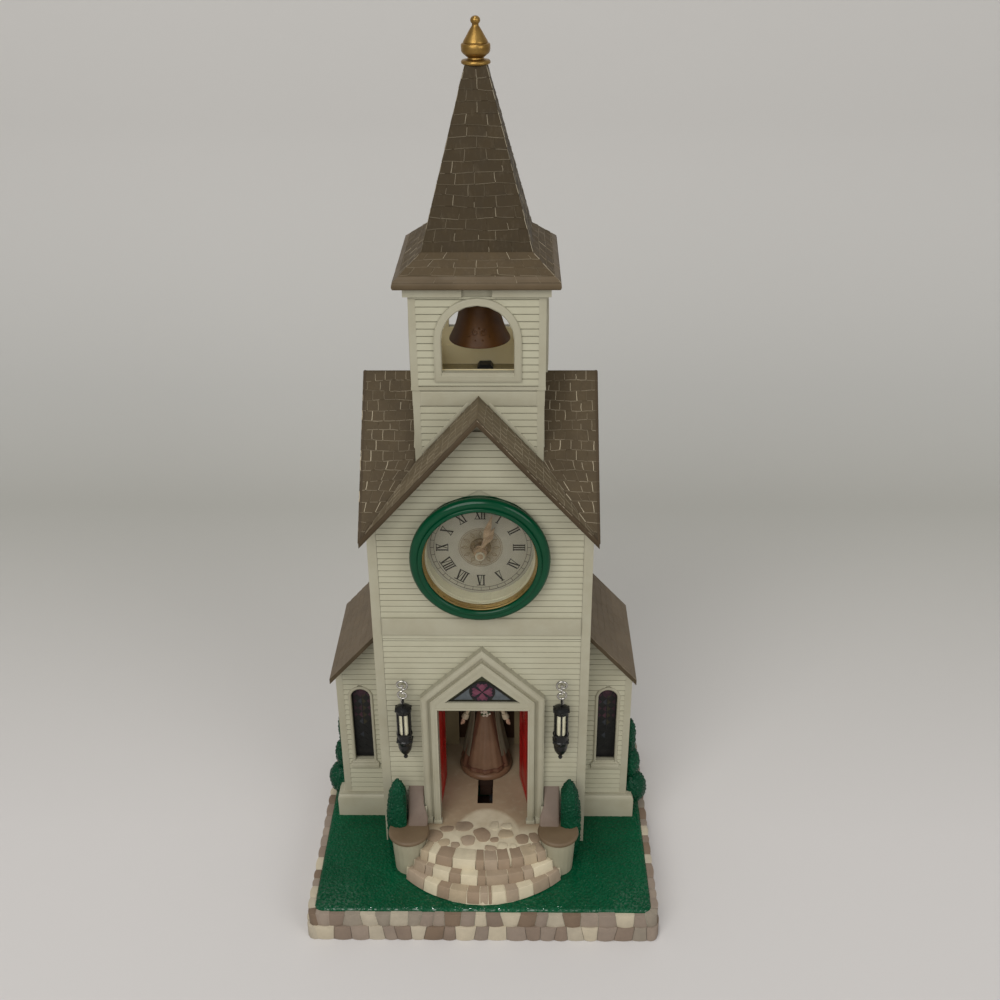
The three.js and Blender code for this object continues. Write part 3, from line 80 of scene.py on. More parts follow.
def start_finish(name, colour, roughness=0.5, metallic=0.0, coat=0.0, shine=0.3):
    finish = bpy.data.materials.new(name)
    finish.use_nodes = True
    finish.diffuse_color = colour
    shader = finish.node_tree.nodes["Principled BSDF"]
    shader.inputs["Base Color"].default_value = colour
    shader.inputs["Roughness"].default_value = roughness
    shader.inputs["Metallic"].default_value = metallic
    shader.inputs["Coat Weight"].default_value = coat
    shader.inputs["Coat Roughness"].default_value = 0.12
    shader.inputs["Specular IOR Level"].default_value = shine
    return finish


def add_node(finish, kind, links=None, **values):
    """A node with its values set by socket name; links maps a socket to the output that feeds it."""
    node = finish.node_tree.nodes.new(kind)
    for name, value in values.items():
        if hasattr(node, name):
            setattr(node, name, value)
    for socket, value in (links or {}).items():
        if isinstance(value, bpy.types.NodeSocket):
            finish.node_tree.links.new(value, node.inputs[socket])
        else:
            node.inputs[socket].default_value = value
    return node


def feed(finish, output, socket):
    finish.node_tree.links.new(output, finish.node_tree.nodes["Principled BSDF"].inputs[socket])


def place_of(finish):
    return add_node(finish, "ShaderNodeTexCoord").outputs["Object"]


print("material helpers ready")

# %% [markdown]
# ### Patterns
# Every pattern is a short chain of nodes on Object coordinates. `noise` makes clouds and `ramp` turns them
# into paint, `mottled` mixes two close paints, `axes_of` and `calculate` pick a paint by its place, and
# `skin` gives the surface its grain. `moulded` puts them together as slightly uneven plastic.


# %% Pattern helpers
def noise(finish, scale, detail=3, rough=0.55, vector=None):
    links = {"Scale": scale, "Detail": detail, "Roughness": rough,
             "Vector": vector if vector is not None else place_of(finish)}
    return add_node(finish, "ShaderNodeTexNoise", links).outputs["Fac"]


def axes_of(finish):
    return add_node(finish, "ShaderNodeSeparateXYZ", {"Vector": place_of(finish)}).outputs


def calculate(finish, operation, first, second=0.0):
    return add_node(finish, "ShaderNodeMath", {0: first, 1: second}, operation=operation).outputs[0]


def ramp(finish, factor, stops):
    """A colour ramp; stops are (position, colour) with greys allowed as plain numbers."""
    node = add_node(finish, "ShaderNodeValToRGB", {"Fac": factor})
    band = node.color_ramp
    while len(band.elements) < len(stops):
        band.elements.new(0.5)
    for element, (position, colour) in zip(band.elements, stops):
        element.position = position
        element.color = colour if isinstance(colour, tuple) else (colour, colour, colour, 1)
    return node.outputs["Color"]


def mottled(finish, scale, dark, light, low=0.3, high=0.7, detail=4):
    """Two close paints in soft patches."""
    return ramp(finish, noise(finish, scale, detail), [(low, dark), (high, light)])


def blend_colour(finish, factor, first, second, how="MIX"):
    node = add_node(finish, "ShaderNodeMix", data_type="RGBA", blend_type=how)
    for socket, value in ((0, factor), (6, first), (7, second)):
        if isinstance(value, bpy.types.NodeSocket):
            finish.node_tree.links.new(value, node.inputs[socket])
        else:
            node.inputs[socket].default_value = value
    return node.outputs[2]


def skin(finish, height, strength=0.2, depth=0.0002):
    bump = add_node(finish, "ShaderNodeBump", {"Height": height, "Strength": strength, "Distance": depth})
    feed(finish, bump.outputs["Normal"], "Normal")


def moulded(name, main, shade, patch=90, grain=1800, bump=0.12, rough=(0.42, 0.58), **kind):
    """Moulded plastic: two close tones in soft patches, a fine grain, and an uneven sheen."""
    finish = start_finish(name, main, roughness=rough[0], **kind)
    soft = noise(finish, patch, 4, 0.6)
    colour = ramp(finish, soft, [(0.34, shade), (0.62, main)])
    feed(finish, colour, "Base Color")
    fine = noise(finish, grain, 2, 0.5)
    feed(finish, ramp(finish, noise(finish, patch * 2.3, 3), [(0.3, rough[0]), (0.75, rough[1])]),
         "Roughness")
    skin(finish, fine, bump)
    return finish


print("helpers ready")

# %% [markdown]
# ## The finishes of the house
# The walls are an aged ivory plastic and the trims a slightly darker one. The roofs and
# copings are a dull brown with a light dry rub on the shingle edges. The bezel, bushes and lawn share one
# deep green. Gold paint covers the finial and the bell has a darker, older bronze look. A horizontal
# surface in the photograph keeps the colour that is written here, and a wall, which sees less of the
# lamp, comes out a little darker.

# %% Finishes of the house
IVORY = moulded("ivory_plastic", tone(172, 169, 147), tone(166, 162, 140), patch=55, bump=0.06)
TRIM = moulded("ivory_trim", tone(162, 158, 138), tone(156, 151, 130), patch=70, bump=0.05, rough=(0.36, 0.5))
# The cheek walls carry a darker copy of the ivory: painted shade.
CHEEK_SHADED = moulded("ivory_cheek_painted_shade", tone(155, 150, 128), tone(147, 142, 120), patch=60, bump=0.06)
# The clock well carries a lighter copy of the ivory: painted light in the deep recess.
WELL_LIT = moulded("ivory_well_painted_light", tone(206, 202, 176), tone(198, 193, 166), patch=80, bump=0.04, rough=(0.4, 0.5))
# The coping's slope is the paddle's brown made lighter: painted light.
COPING_LIT = moulded("coping_slope_painted_light", tone(122, 107, 95), tone(109, 93, 81), patch=60, rough=(0.5, 0.65))
PADDLE = moulded("coping_cap_paint", tone(104, 87, 66), tone(96, 79, 59), patch=80, rough=(0.4, 0.55))
BLACK = moulded("lantern_black", tone(24, 24, 23), tone(17, 17, 17), patch=200, rough=(0.2, 0.32))
BLACK_PLASTIC = moulded("black_plastic", tone(44, 45, 46), tone(36, 36, 38), patch=120, rough=(0.4, 0.6))
RED = moulded("door_red_gloss", tone(168, 24, 22), tone(156, 18, 17), patch=40, bump=0.03, rough=(0.26, 0.36))
WHITE_GEAR = moulded("gear_white", tone(206, 201, 186), tone(196, 190, 172), patch=150)
STEEL = moulded("hook_steel", tone(196, 193, 186), tone(160, 157, 150), patch=300, bump=0.03,
                rough=(0.14, 0.26), metallic=1.0)
GREY_STEEL = moulded("motor_steel", tone(132, 134, 136), tone(112, 113, 116), patch=200, rough=(0.3, 0.45),
                     metallic=0.9)
BUTTON_RED = moulded("button_red", tone(150, 30, 26), tone(138, 24, 22), patch=120, rough=(0.3, 0.4))


def worn_gold(name, main, shade, rub, rough):
    finish = start_finish(name, main, roughness=rough[0], metallic=0.85)
    soft = ramp(finish, noise(finish, 90, 4, 0.6), [(0.3, shade), (0.58, main), (0.8, rub)])
    feed(finish, soft, "Base Color")
    feed(finish, ramp(finish, noise(finish, 420, 3), [(0.3, rough[0]), (0.7, rough[1])]), "Roughness")
    skin(finish, noise(finish, 1500, 2), 0.15)
    return finish


GOLD = worn_gold("finial_gold", tone(158, 126, 68), tone(122, 92, 44), tone(196, 166, 106), (0.3, 0.42))
RING_GOLD = worn_gold("ring_gold", tone(160, 136, 84), tone(142, 118, 70), tone(184, 160, 108), (0.32, 0.42))
HAND_GOLD = moulded("hand_gold", tone(158, 138, 112), tone(134, 114, 90), patch=400, rough=(0.36, 0.46),
                    metallic=0.25)
BRONZE = moulded("bell_bronze", tone(86, 53, 14), tone(70, 41, 8), patch=110, rough=(0.45, 0.58),
                 metallic=0.1, shine=0.35)
print(len(bpy.data.materials), "finishes so far")

# %% [markdown]
# ## Greens
# The bezel is a smooth satin green. The lawn and the bushes are the same plastic with a pebbled skin
# that catches the lamp in many small sparks, so a sharp Voronoi bump does the sparkle and a slow noise
# darkens the paint in patches.


# %% Green finishes
def pebbled_green(name, main, shade, light, pebble, bump, rough):
    finish = start_finish(name, main, roughness=rough[0], shine=0.14)
    slow = noise(finish, 38, 4, 0.6)
    colour = ramp(finish, slow, [(0.32, shade), (0.55, main), (0.8, light)])
    cells = add_node(finish, "ShaderNodeTexVoronoi", {"Vector": place_of(finish), "Scale": pebble})
    pits = ramp(finish, cells.outputs["Distance"], [(0.05, light), (0.5, main), (0.8, shade)])
    feed(finish, blend_colour(finish, 0.35, colour, pits), "Base Color")
    feed(finish, ramp(finish, noise(finish, 260, 2), [(0.35, rough[0]), (0.7, rough[1])]), "Roughness")
    skin(finish, cells.outputs["Distance"], bump, 0.0004)
    finish.node_tree.nodes["Principled BSDF"].inputs["Coat Roughness"].default_value = 0.045
    return finish


GREEN = moulded("bezel_green", tone(2, 62, 37), tone(1, 55, 32), patch=45, grain=900, bump=0.03,
                rough=(0.16, 0.22), shine=0.12, coat=0.22)
LAWN = pebbled_green("lawn_green", tone(3, 72, 44), tone(2, 59, 35), tone(6, 84, 52), 820, 1.0, (0.1, 0.42))
# The lawn's pebbles are wet-looking in spots, most of them along its front edge.
lawn_place = axes_of(LAWN)
at_front = add_node(LAWN, "ShaderNodeMapRange", {"Value": lawn_place["Y"], "From Min": -0.046,
                                                 "From Max": -0.064, "To Min": 0.18, "To Max": 1.0})
spots = ramp(LAWN, noise(LAWN, 700, 2), [(0.5, 0.0), (0.58, 1.0)])
feed(LAWN, blend_colour(LAWN, 1.0, spots, at_front.outputs["Result"], "MULTIPLY"), "Coat Weight")
LEAF = pebbled_green("leaf_green", tone(4, 60, 38), tone(2, 45, 28), tone(10, 80, 52), 1500, 0.5,
                     (0.16, 0.34))
print("greens:", GREEN.name, LAWN.name, LEAF.name)

# %% [markdown]
# ## Shingle and stone paint
# Every shingle and every stone carries its own tone in a colour attribute, written while the piece is
# made, because neighbours differ on the real toy; the darker tone of the steep spire faces is painted
# shade. The shader mottles that tone, adds a fine skin, and on the shingles lays faint pale streaks
# down the slope, as left by the dry brush.


# %% Shingle and stone finishes
def own_tone(finish, cloud):
    """The tone that each face carries, mottled by a grey cloud."""
    own = add_node(finish, "ShaderNodeVertexColor", layer_name="tone").outputs["Color"]
    return blend_colour(finish, 1.0, own, cloud, "MULTIPLY")


def painted(name, base, mottle, grain, rough, streak=0.0, bump=0.25, shine=0.3):
    finish = start_finish(name, base, roughness=rough[0], shine=shine)
    colour = own_tone(finish, ramp(finish, noise(finish, mottle, 4, 0.65), [(0.28, 0.86), (0.72, 1.1)]))
    if streak:
        spread = add_node(finish, "ShaderNodeMapping", {"Vector": place_of(finish), "Scale": (1, 1, 0.16)})
        lines = noise(finish, 900, 3, 0.6, spread.outputs["Vector"])
        pale = ramp(finish, lines, [(0.55, 0.0), (0.78, streak)])
        colour = blend_colour(finish, pale, colour, tone(150, 138, 118))
    feed(finish, colour, "Base Color")
    feed(finish, ramp(finish, noise(finish, mottle * 2, 2), [(0.3, rough[0]), (0.7, rough[1])]), "Roughness")
    skin(finish, noise(finish, grain, 3, 0.6), bump, 0.0003)
    return finish


SHINGLE = painted("shingle_paint", tone(84, 73, 56), 110, 1400, (0.5, 0.65), streak=0.08, shine=0.12)
STONE = painted("stone_paint", tone(150, 134, 112), 120, 900, (0.6, 0.8), bump=0.35)
ROOF = moulded("roof_brown", tone(76, 65, 48), tone(66, 56, 41), patch=70, grain=1100, bump=0.2,
               rough=(0.5, 0.65), shine=0.12)
RAKE = moulded("rake_brown", tone(70, 58, 42), tone(61, 50, 35), patch=60, grain=900, bump=0.15,
               rough=(0.45, 0.6), shine=0.15)
EAVE = moulded("eave_brown", tone(92, 78, 58), tone(82, 69, 50), patch=60, grain=900, bump=0.15,
               rough=(0.4, 0.55), shine=0.2)

# The belfry is painted pale and warm inside: painted light that stands for the light the walls throw
# back and forth. Its floor is painted darker: painted shade.
BELFRY = moulded("belfry_ivory_painted_light_and_shade", tone(162, 158, 138), tone(156, 151, 130), patch=70, bump=0.05)
inner_place = axes_of(BELFRY)
off_y = calculate(BELFRY, "SUBTRACT", inner_place["Y"], 0.015)
reaches = [calculate(BELFRY, "ABSOLUTE", output)
           for output in (inner_place["X"], off_y)]
furthest = calculate(BELFRY, "MAXIMUM", reaches[0], reaches[1])
inside = calculate(BELFRY, "LESS_THAN", furthest, 0.0262)
outer_paint = mottled(BELFRY, 70, tone(156, 151, 130), tone(162, 158, 138), 0.34, 0.62)
inner_painted_light_and_shade = mottled(BELFRY, 70, tone(222, 208, 166), tone(230, 218, 178), 0.34, 0.62)
on_floor = calculate(BELFRY, "LESS_THAN", inner_place["Z"], 0.2528)
# The darker floor paint is painted shade.
floor_paint = mottled(BELFRY, 70, tone(150, 138, 104), tone(160, 148, 114), 0.34, 0.62)
inner_painted_light_and_shade = blend_colour(BELFRY, on_floor, inner_painted_light_and_shade, floor_paint)
feed(BELFRY, blend_colour(BELFRY, inside, outer_paint, inner_painted_light_and_shade), "Base Color")
print(len(bpy.data.materials), "finishes now")

# %% [markdown]
# ## Dress the CAD nodes that stay
# Most hard parts of the CAD model are right as they are, so they keep their mesh and get a finish by
# material slot. The ones that the cells below make again in more detail are hidden there by name.


# %% Dress the CAD nodes
def dress(finish, *names):
    for name in names:
        for slot in nodes[name].material_slots:
            slot.material = finish


dress(TRIM, "lower_case", "upper_case", "left_wing", "right_wing", "door_surround", "rear_cover",
      "rear_hatch", "battery_door")
dress(BELFRY, "belfry", "tower_lower", "bell_hanger")
dress(CHEEK_SHADED, "left_cheek_wall", "right_cheek_wall")
dress(WELL_LIT, "clock_well")
dress(ROOF, "main_roof", "spire_roof", "left_wing_roof", "right_wing_roof")
dress(COPING_LIT, "left_wall_cap", "right_wall_cap")
dress(RED, "left_door", "right_door")
dress(GOLD, "finial")
dress(HAND_GOLD, "hour_hand", "minute_hand")
dress(BRONZE, "bell", "bell_clapper")
dress(BLACK, "left_lantern", "right_lantern")
dress(STEEL, "left_lantern_hook", "right_lantern_hook", "cover_screw_1", "cover_screw_2")
dress(BLACK_PLASTIC, "clock_movement", "time_set_knob", "speaker", "music_switch", "bell_magnet")
dress(GREY_STEEL, "drive_motor")
dress(WHITE_GEAR, "drive_pinion")
dress(BUTTON_RED, "play_button")
print("CAD nodes dressed")

# %% [markdown]
# ## The photograph's camera
# The camera stands half a metre in front of the church and looks down on it by 28.5 degrees, so the
# roof tops, the steps and the lawn all show. Its place and turn were solved from the corners of the
# case, the spire and the base in the photograph. A square picture and a 36 mm sensor give a 42.5 mm lens.


# %% Camera
def aim_camera(place, yaw, pitch, roll, lens):
    data = bpy.data.cameras.new("photo_camera")
    data.lens = lens
    data.sensor_width = 36
    data.clip_start = 0.01
    camera = bpy.data.objects.new("photo_camera", data)
    bpy.context.collection.objects.link(camera)
    turn = (Matrix.Rotation(radians(-yaw), 4, "Z") @ Matrix.Rotation(radians(90 + pitch), 4, "X")
            @ Matrix.Rotation(radians(roll), 4, "Z"))
    camera.matrix_world = Matrix.Translation(place) @ turn
    bpy.context.scene.camera = camera
    return camera


camera = aim_camera((0.01623, -0.469521, 0.457526), -0.94, -28.49, -0.38, 42.51)
print("camera looks along", camera.matrix_world.to_3x3() @ Vector((0, 0, -1)))

# %% [markdown]
# ## Floor, backdrop and lamps
# The church stands on pale paper that curves up behind it. A profile of one curve is extruded sideways.
# A broad soft lamp at the left front, a weaker one at the right, a small one overhead for the sparks on
# glossy paint and an even world give the studio light. At this level a card keeps its written colour.


# %% Paper sweep
def paper_sweep(radius, back, width, height):
    shape = bmesh.new()
    profile = [(-2.6, 0.0), (back - radius, 0.0)]
    steps = 24
    for step in range(1, steps):
        turn = radians(90 * step / steps)
        profile.append((back - radius + radius * sin(turn), radius - radius * cos(turn)))
    profile += [(back, radius), (back, height)]
    line = [shape.verts.new((-width, y, z)) for y, z in profile]
    edges = [shape.edges.new(pair) for pair in zip(line, line[1:])]
    made = bmesh.ops.extrude_edge_only(shape, edges=edges)["geom"]
    bmesh.ops.translate(shape, verts=[v for v in made if isinstance(v, bmesh.types.BMVert)],
                        vec=(2 * width, 0, 0))
    bmesh.ops.recalc_face_normals(shape, faces=shape.faces)
    mesh = bpy.data.meshes.new("paper_sweep")
    shape.to_mesh(mesh)
    shape.free()
    mesh.shade_smooth()
    sweep = bpy.data.objects.new("paper_sweep", mesh)
    bpy.context.collection.objects.link(sweep)
    return sweep


PAPER = start_finish("pale_paper_with_painted_shadow", tone(204, 200, 193), roughness=0.9, shine=0.1)
paper_place = axes_of(PAPER)
up_the_sweep = calculate(PAPER, "ADD", paper_place["Y"], paper_place["Z"])
# The darker band where the floor curves up is painted shadow and shade of the church on the cove.
feed(PAPER, ramp(PAPER, up_the_sweep, [(0.0, tone(202, 199, 197)), (0.36, tone(176, 175, 169)),
                                                  (0.55, tone(180, 179, 175)), (0.85, tone(196, 194, 191))]),
     "Base Color")
sweep = paper_sweep(0.25, 0.62, 3.0, 2.2)
sweep.data.materials.append(PAPER)


def soft_lamp(name, place, target, size, power, colour):
    data = bpy.data.lights.new(name, "AREA")
    data.shape = "DISK"
    data.size = size
    data.energy = power
    data.color = colour
    lamp = bpy.data.objects.new(name, data)
    bpy.context.collection.objects.link(lamp)
    lamp.location = place
    lamp.rotation_euler = (Vector(target) - Vector(place)).to_track_quat("-Z", "Y").to_euler()


soft_lamp("key_lamp", (-0.55, -1.5, 1.4), (0, 0, 0.15), 1.5, 23.5, (1.0, 0.985, 0.955))
soft_lamp("side_lamp", (1.2, -1.3, 1.0), (0, 0, 0.15), 1.1, 8.0, (1.0, 0.99, 0.965))
soft_lamp("spark_lamp", (-0.1, -0.05, 1.7), (0, 0, 0.05), 0.1, 4.0, (1.0, 0.99, 0.97))
world = bpy.data.worlds.new("studio")
bpy.context.scene.world = world
world.use_nodes = True
world.node_tree.nodes["Background"].inputs["Color"].default_value = (0.98, 0.985, 1.0, 1)
world.node_tree.nodes["Background"].inputs["Strength"].default_value = 0.4
bpy.context.scene.view_settings.view_transform = "Standard"
print("stage ready")

# %% [markdown]
# ## From a bmesh to a finished piece
# Each piece is built as a bmesh in millimetres. `finish_piece` moves it into the shared frame, gives it
# its material, keeps hard edges sharp and round ones smooth, and lets it ride on its CAD body.


# %% Finish a piece
def finish_piece(name, shape, finish, body="church", place=HOUSE, stands_for=(), crease=32):
    shape.transform(place)
    mesh = bpy.data.meshes.new(name)
    shape.to_mesh(mesh)
    shape.free()
    mesh.materials.append(finish)
    mesh.shade_smooth()
    mesh.set_sharp_from_angle(angle=radians(crease))
    piece = bpy.data.objects.new(name, mesh)
    bpy.context.collection.objects.link(piece)
    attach(piece, body)
    if stands_for:
        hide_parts(*stands_for)
    mesh.calc_loop_triangles()
    triangles_made[name] = len(mesh.loop_triangles)
    return piece


def start_shape():
    """An empty shape whose faces can carry a tone of their own."""
    shape = bmesh.new()
    return shape, shape.loops.layers.float_color.new("tone")


def colour_loops(faces, layer, colour):
    for face in faces:
        for loop in face.loops:
            loop[layer] = colour


def join_rows(shape, rows):
    """Joins closed rows of points into a skin with both ends shut; every normal points outward."""
    count = len(rows[0])
    faces = [shape.faces.new(rows[0]), shape.faces.new(rows[-1][::-1])]
    for near, far in zip(rows, rows[1:]):
        faces += [shape.faces.new((near[k], far[k], far[(k + 1) % count], near[(k + 1) % count]))
                  for k in range(count)]
    bmesh.ops.recalc_face_normals(shape, faces=faces)
    return faces


def facing(quarter, out):
    """A wall's own frame: x runs along it, z up, and -y out of it. Quarter 0 is the front, 1 the right."""
    return Matrix.Rotation(radians(90 * quarter), 4, "Z") @ Matrix.Translation((0, -out, 0))


def add_box(shape, place, xs, ys, zs):
    made = bmesh.ops.create_cube(shape, size=2)["verts"]
    for corner in made:
        x, y, z = corner.co
        corner.co = place @ Vector((xs[x > 0], ys[y > 0], zs[z > 0]))
    return made


print("piece helpers ready")

# %% [markdown]
# ## Clapboards
# The walls are moulded as overlapping boards. Each board is a long wedge, thick at its lower edge, with
# an open groove above it, which makes the thin dark line that the photograph shows every 3.14 mm. One
# short section is drawn at both ends of the board and joined. The ends may slope, so that the boards
# follow a gable or stop behind an arched frame without any cutting.

# %% Clapboard maker
BOARD = 3.14
BOARD_LIP = 0.78
BOARD_FACE = 0.5
BOARD_GROOVE = 0.5


def add_board(shape, place, low, high, left, right):
    """One board: its face leans out to the lip, and a groove stays open above it."""
    tall = high - low
    step = min(BOARD_GROOVE, tall * 0.4)
    section = ((-0.3, low), (BOARD_LIP, low), (BOARD_LIP, low + 0.12), (BOARD_FACE, high - step),
               (-0.3, high - step))
    ends = []
    for side in (left, right):
        at = lambda z: side[0] + (side[1] - side[0]) * (z - low) / tall
        ends.append([shape.verts.new(place @ Vector((at(z), -out, z))) for out, z in section])
    join_rows(shape, ends)


def clad(shape, place, low, high, left, right, hole=None, middle=0.0, pitch=BOARD):
    """Boards from low to high between left(z) and right(z), leaving hole(z) free on both sides of middle."""
    z = low
    while z < high - 0.3:
        top = min(z + pitch, high)
        at = lambda edge: (edge(z + 0.02), edge(top - 0.02))
        ends = at(left), at(right)
        gap = at(hole) if hole else (0, 0)
        if ends[1][0] - ends[0][0] > 0.6:
            if max(gap) > 0:
                inner = [middle - gap[0], middle - gap[1]], [middle + gap[0], middle + gap[1]]
                if inner[0][0] - ends[0][0] > 0.3:
                    add_board(shape, place, z, top, ends[0], inner[0])
                if ends[1][0] - inner[1][0] > 0.3:
                    add_board(shape, place, z, top, inner[1], ends[1])
            else:
                add_board(shape, place, z, top, ends[0], ends[1])
        z = top


def arch_hole(half, foot, spring):
    def width(z):
        if z < foot:
            return 0.0
        return half if z < spring else sqrt(max(0.0, half * half - (z - spring) ** 2))
    return width


print("boards every", BOARD, "mm")

# %% [markdown]
# The lower case stops its boards behind the door surround, whose head slopes like a small gable. The
# gables of the upper case narrow with the roof, and the front one leaves a round place for the clock.

# %% Boards of the case
def level(x):
    return lambda z: x


def surround_hole(z):
    return 27.8 if z < 110.4 else max(0.0, (138.1 - z) * 29.3 / 27.7 - 1.6)


def under_roof(side, reach, slope):
    return lambda z: side * max(0.12, min(reach, (256.4 - z) / slope))


# Distances of the walls from the tower's axis, half the front's width and the height of the clock.
CASE_WALL, CASE_SIDE, TOWER_WALL, BELFRY_WALL = 37.0, 49.2, 27.0, 27.4
CASE_HALF = 45.7
CLOCK_HEIGHT = 187.8
LOWER_PITCH = 3.128
FRONT_SLOPE = 57.3 / 51.4
SIDE_SLOPE = 57.3 / 52.4

lower = bmesh.new()
clad(lower, facing(0, CASE_WALL), 19.3, 142.2, level(-CASE_HALF), level(CASE_HALF), surround_hole,
     pitch=LOWER_PITCH)
for quarter, spans in ((1, ((-33.5, -18.4), (26.5, 33.5))), (-1, ((-33.5, -26.5), (18.4, 33.5)))):
    for span in spans:
        clad(lower, facing(quarter, CASE_SIDE), 19.3, 135.5, level(span[0]), level(span[1]),
             pitch=LOWER_PITCH)
finish_piece("lower_clapboards", lower, IVORY)

upper = bmesh.new()
clock_hole = lambda z: sqrt(max(0.0, 29.6 ** 2 - (z - CLOCK_HEIGHT) ** 2))
clad(upper, facing(0, CASE_WALL), 154.06, 256.2, under_roof(-1, CASE_HALF, FRONT_SLOPE),
     under_roof(1, CASE_HALF, FRONT_SLOPE), clock_hole)
clad(upper, facing(0, CASE_WALL), 142.3, 144.8, level(-CASE_HALF), level(CASE_HALF))
clad(upper, facing(2, CASE_WALL), 144.66, 256.2, under_roof(-1, CASE_HALF, FRONT_SLOPE),
     under_roof(1, CASE_HALF, FRONT_SLOPE), lambda z: 28.8 if 154.8 < z < 210.6 else 0.0)
for quarter in (1, -1):
    clad(upper, facing(quarter, CASE_SIDE), 141.5, 256.2, under_roof(-1, 33.5, SIDE_SLOPE),
         under_roof(1, 33.5, SIDE_SLOPE))
finish_piece("upper_clapboards", upper, IVORY)
print("case boards:", triangles_made["upper_clapboards"], "triangles above")

# %% [markdown]
# The tower and the belfry carry the same boards on all four sides, and the belfry's stop at its arches.
# The wings' boards end under the slope of their own roof and leave the tall window free.

# %% Boards of the tower, belfry and wings
tower = bmesh.new()
for quarter in range(4):
    clad(tower, facing(quarter, TOWER_WALL), 217.02, 254.8, level(-24.8), level(24.8))
    clad(tower, facing(quarter, BELFRY_WALL), 264.2, 303.2, level(-25.1), level(25.1),
         arch_hole(16.9, 267.4, 284.3))
finish_piece("tower_clapboards", tower, IVORY)

WING_FRONT, WINDOW_X = 17.0, 61.2
wing_window = arch_hole(5.4, 50.4, 93.3)
eave_line = lambda z: min(69.5, 73.2 - (z + 3.3 - 113.9) / 1.108)
wings = bmesh.new()
for side in (-1, 1):
    ends = (level(50.3), eave_line) if side > 0 else (lambda z: -eave_line(z), level(-50.3))
    clad(wings, facing(0, WING_FRONT), 31.7, 130.0, *ends, hole=wing_window, middle=side * WINDOW_X)
    ends = (lambda z: -eave_line(z), level(-50.3)) if side > 0 else (level(50.3), eave_line)
    clad(wings, facing(2, 25.2), 31.7, 130.0, *ends)
    span = (-14.4, 22.6) if side > 0 else (-22.6, 14.4)
    clad(wings, facing(side, 72.0), 31.7, 110.9, level(span[0]), level(span[1]))
finish_piece("wing_clapboards", wings, IVORY)
print("clapboards:", triangles_made)

# %% [markdown]
# ## Flashing and the gable louvre
# Where the roofs run into the tower a thin moulded strip follows their slope, and a tiny three-sided
# louvre sits at the top of the front gable. Both are short bars laid between two points.


# %% Flashing and louvre
def add_bar(shape, place, start, end, width, depth, bury=0.3):
    """A bar on a wall from start to end, each (x, z), centred on that line and depth proud."""
    run = Vector((end[0] - start[0], 0, end[1] - start[1]))
    across = Vector((-run.z, 0, run.x)).normalized() * width / 2
    for corner in bmesh.ops.create_cube(shape, size=2)["verts"]:
        x, y, z = corner.co
        spot = Vector((start[0], 0, start[1])) + (run if x > 0 else Vector()) + across * (1 if z > 0 else -1)
        spot.y = bury if y > 0 else -depth
        corner.co = place @ spot


flashing = bmesh.new()
for quarter in range(4):
    slope = FRONT_SLOPE if quarter % 2 == 0 else SIDE_SLOPE
    for side in (-1, 1):
        foot = (side * 24.6, 259.3 - 24.6 * slope + 1.5)
        head = (side * 4.2, 259.3 - 4.2 * slope + 1.5)
        add_bar(flashing, facing(quarter, TOWER_WALL), foot, head, 1.5, 1.1)
bmesh.ops.bevel(flashing, geom=flashing.edges[:], offset=0.25, segments=2, affect="EDGES", profile=0.5,
                material=-1)
finish_piece("tower_flashing", flashing, TRIM)

louvre = bmesh.new()
for start, end in (((-4.6, 247.2), (4.6, 247.2)), ((-4.6, 247.0), (0.0, 252.2)),
                   ((4.6, 247.0), (0.0, 252.2))):
    add_bar(louvre, facing(0, CASE_WALL), start, end, 0.7, 1.3)
for z in (248.3, 249.5, 250.6):
    reach = (252.2 - z) * 0.88 - 0.3
    add_board(louvre, facing(0, 37.3), z, z + 0.9, (-reach, -reach + 0.6), (reach, reach - 0.6))
finish_piece("gable_louvre", louvre, TRIM)
print("flashing and louvre made")

# %% [markdown]
# ## Shingles
# The roofs are moulded as rows of slightly irregular slate-like shingles, 4 to 9 mm wide and about 4.4 mm
# tall, with wavy course lines and edges that the paint left a little lighter. One shingle is a thin
# wedge, and a roof plane is filled course by course between two sloping limits. The outer edges of all
# shingles are bevelled in one go. The paint's pale dry brush is a low ridge along left and lower edges.

# %% Shingle maker
SHINGLE_LIP = 0.2
# The steep spire faces carry a darker brown than the flare below them: painted shade.
ROOF_TONES = {"spire": (60, 50, 34), "flare": (76, 64, 46), "main": (76, 65, 48), "gable": (98, 87, 68),
              "wing": (104, 92, 76)}
PALE_BRUSH = tone(182, 171, 148)
brushed = []


def roof_plane(quarter, out, low, run, rise):
    """Frame of a roof plane: x along the eave, z up the slope, -y out of it; out and low place the eave."""
    length = math.hypot(run, rise)
    up = Vector((0, run / length, rise / length))
    into = Vector((0, rise / length, -run / length))
    columns = Matrix((Vector((1, 0, 0)), into, up)).transposed().to_4x4()
    return (Matrix.Rotation(radians(90 * quarter), 4, "Z")
            @ Matrix.Translation((0, -out, low)) @ columns), length


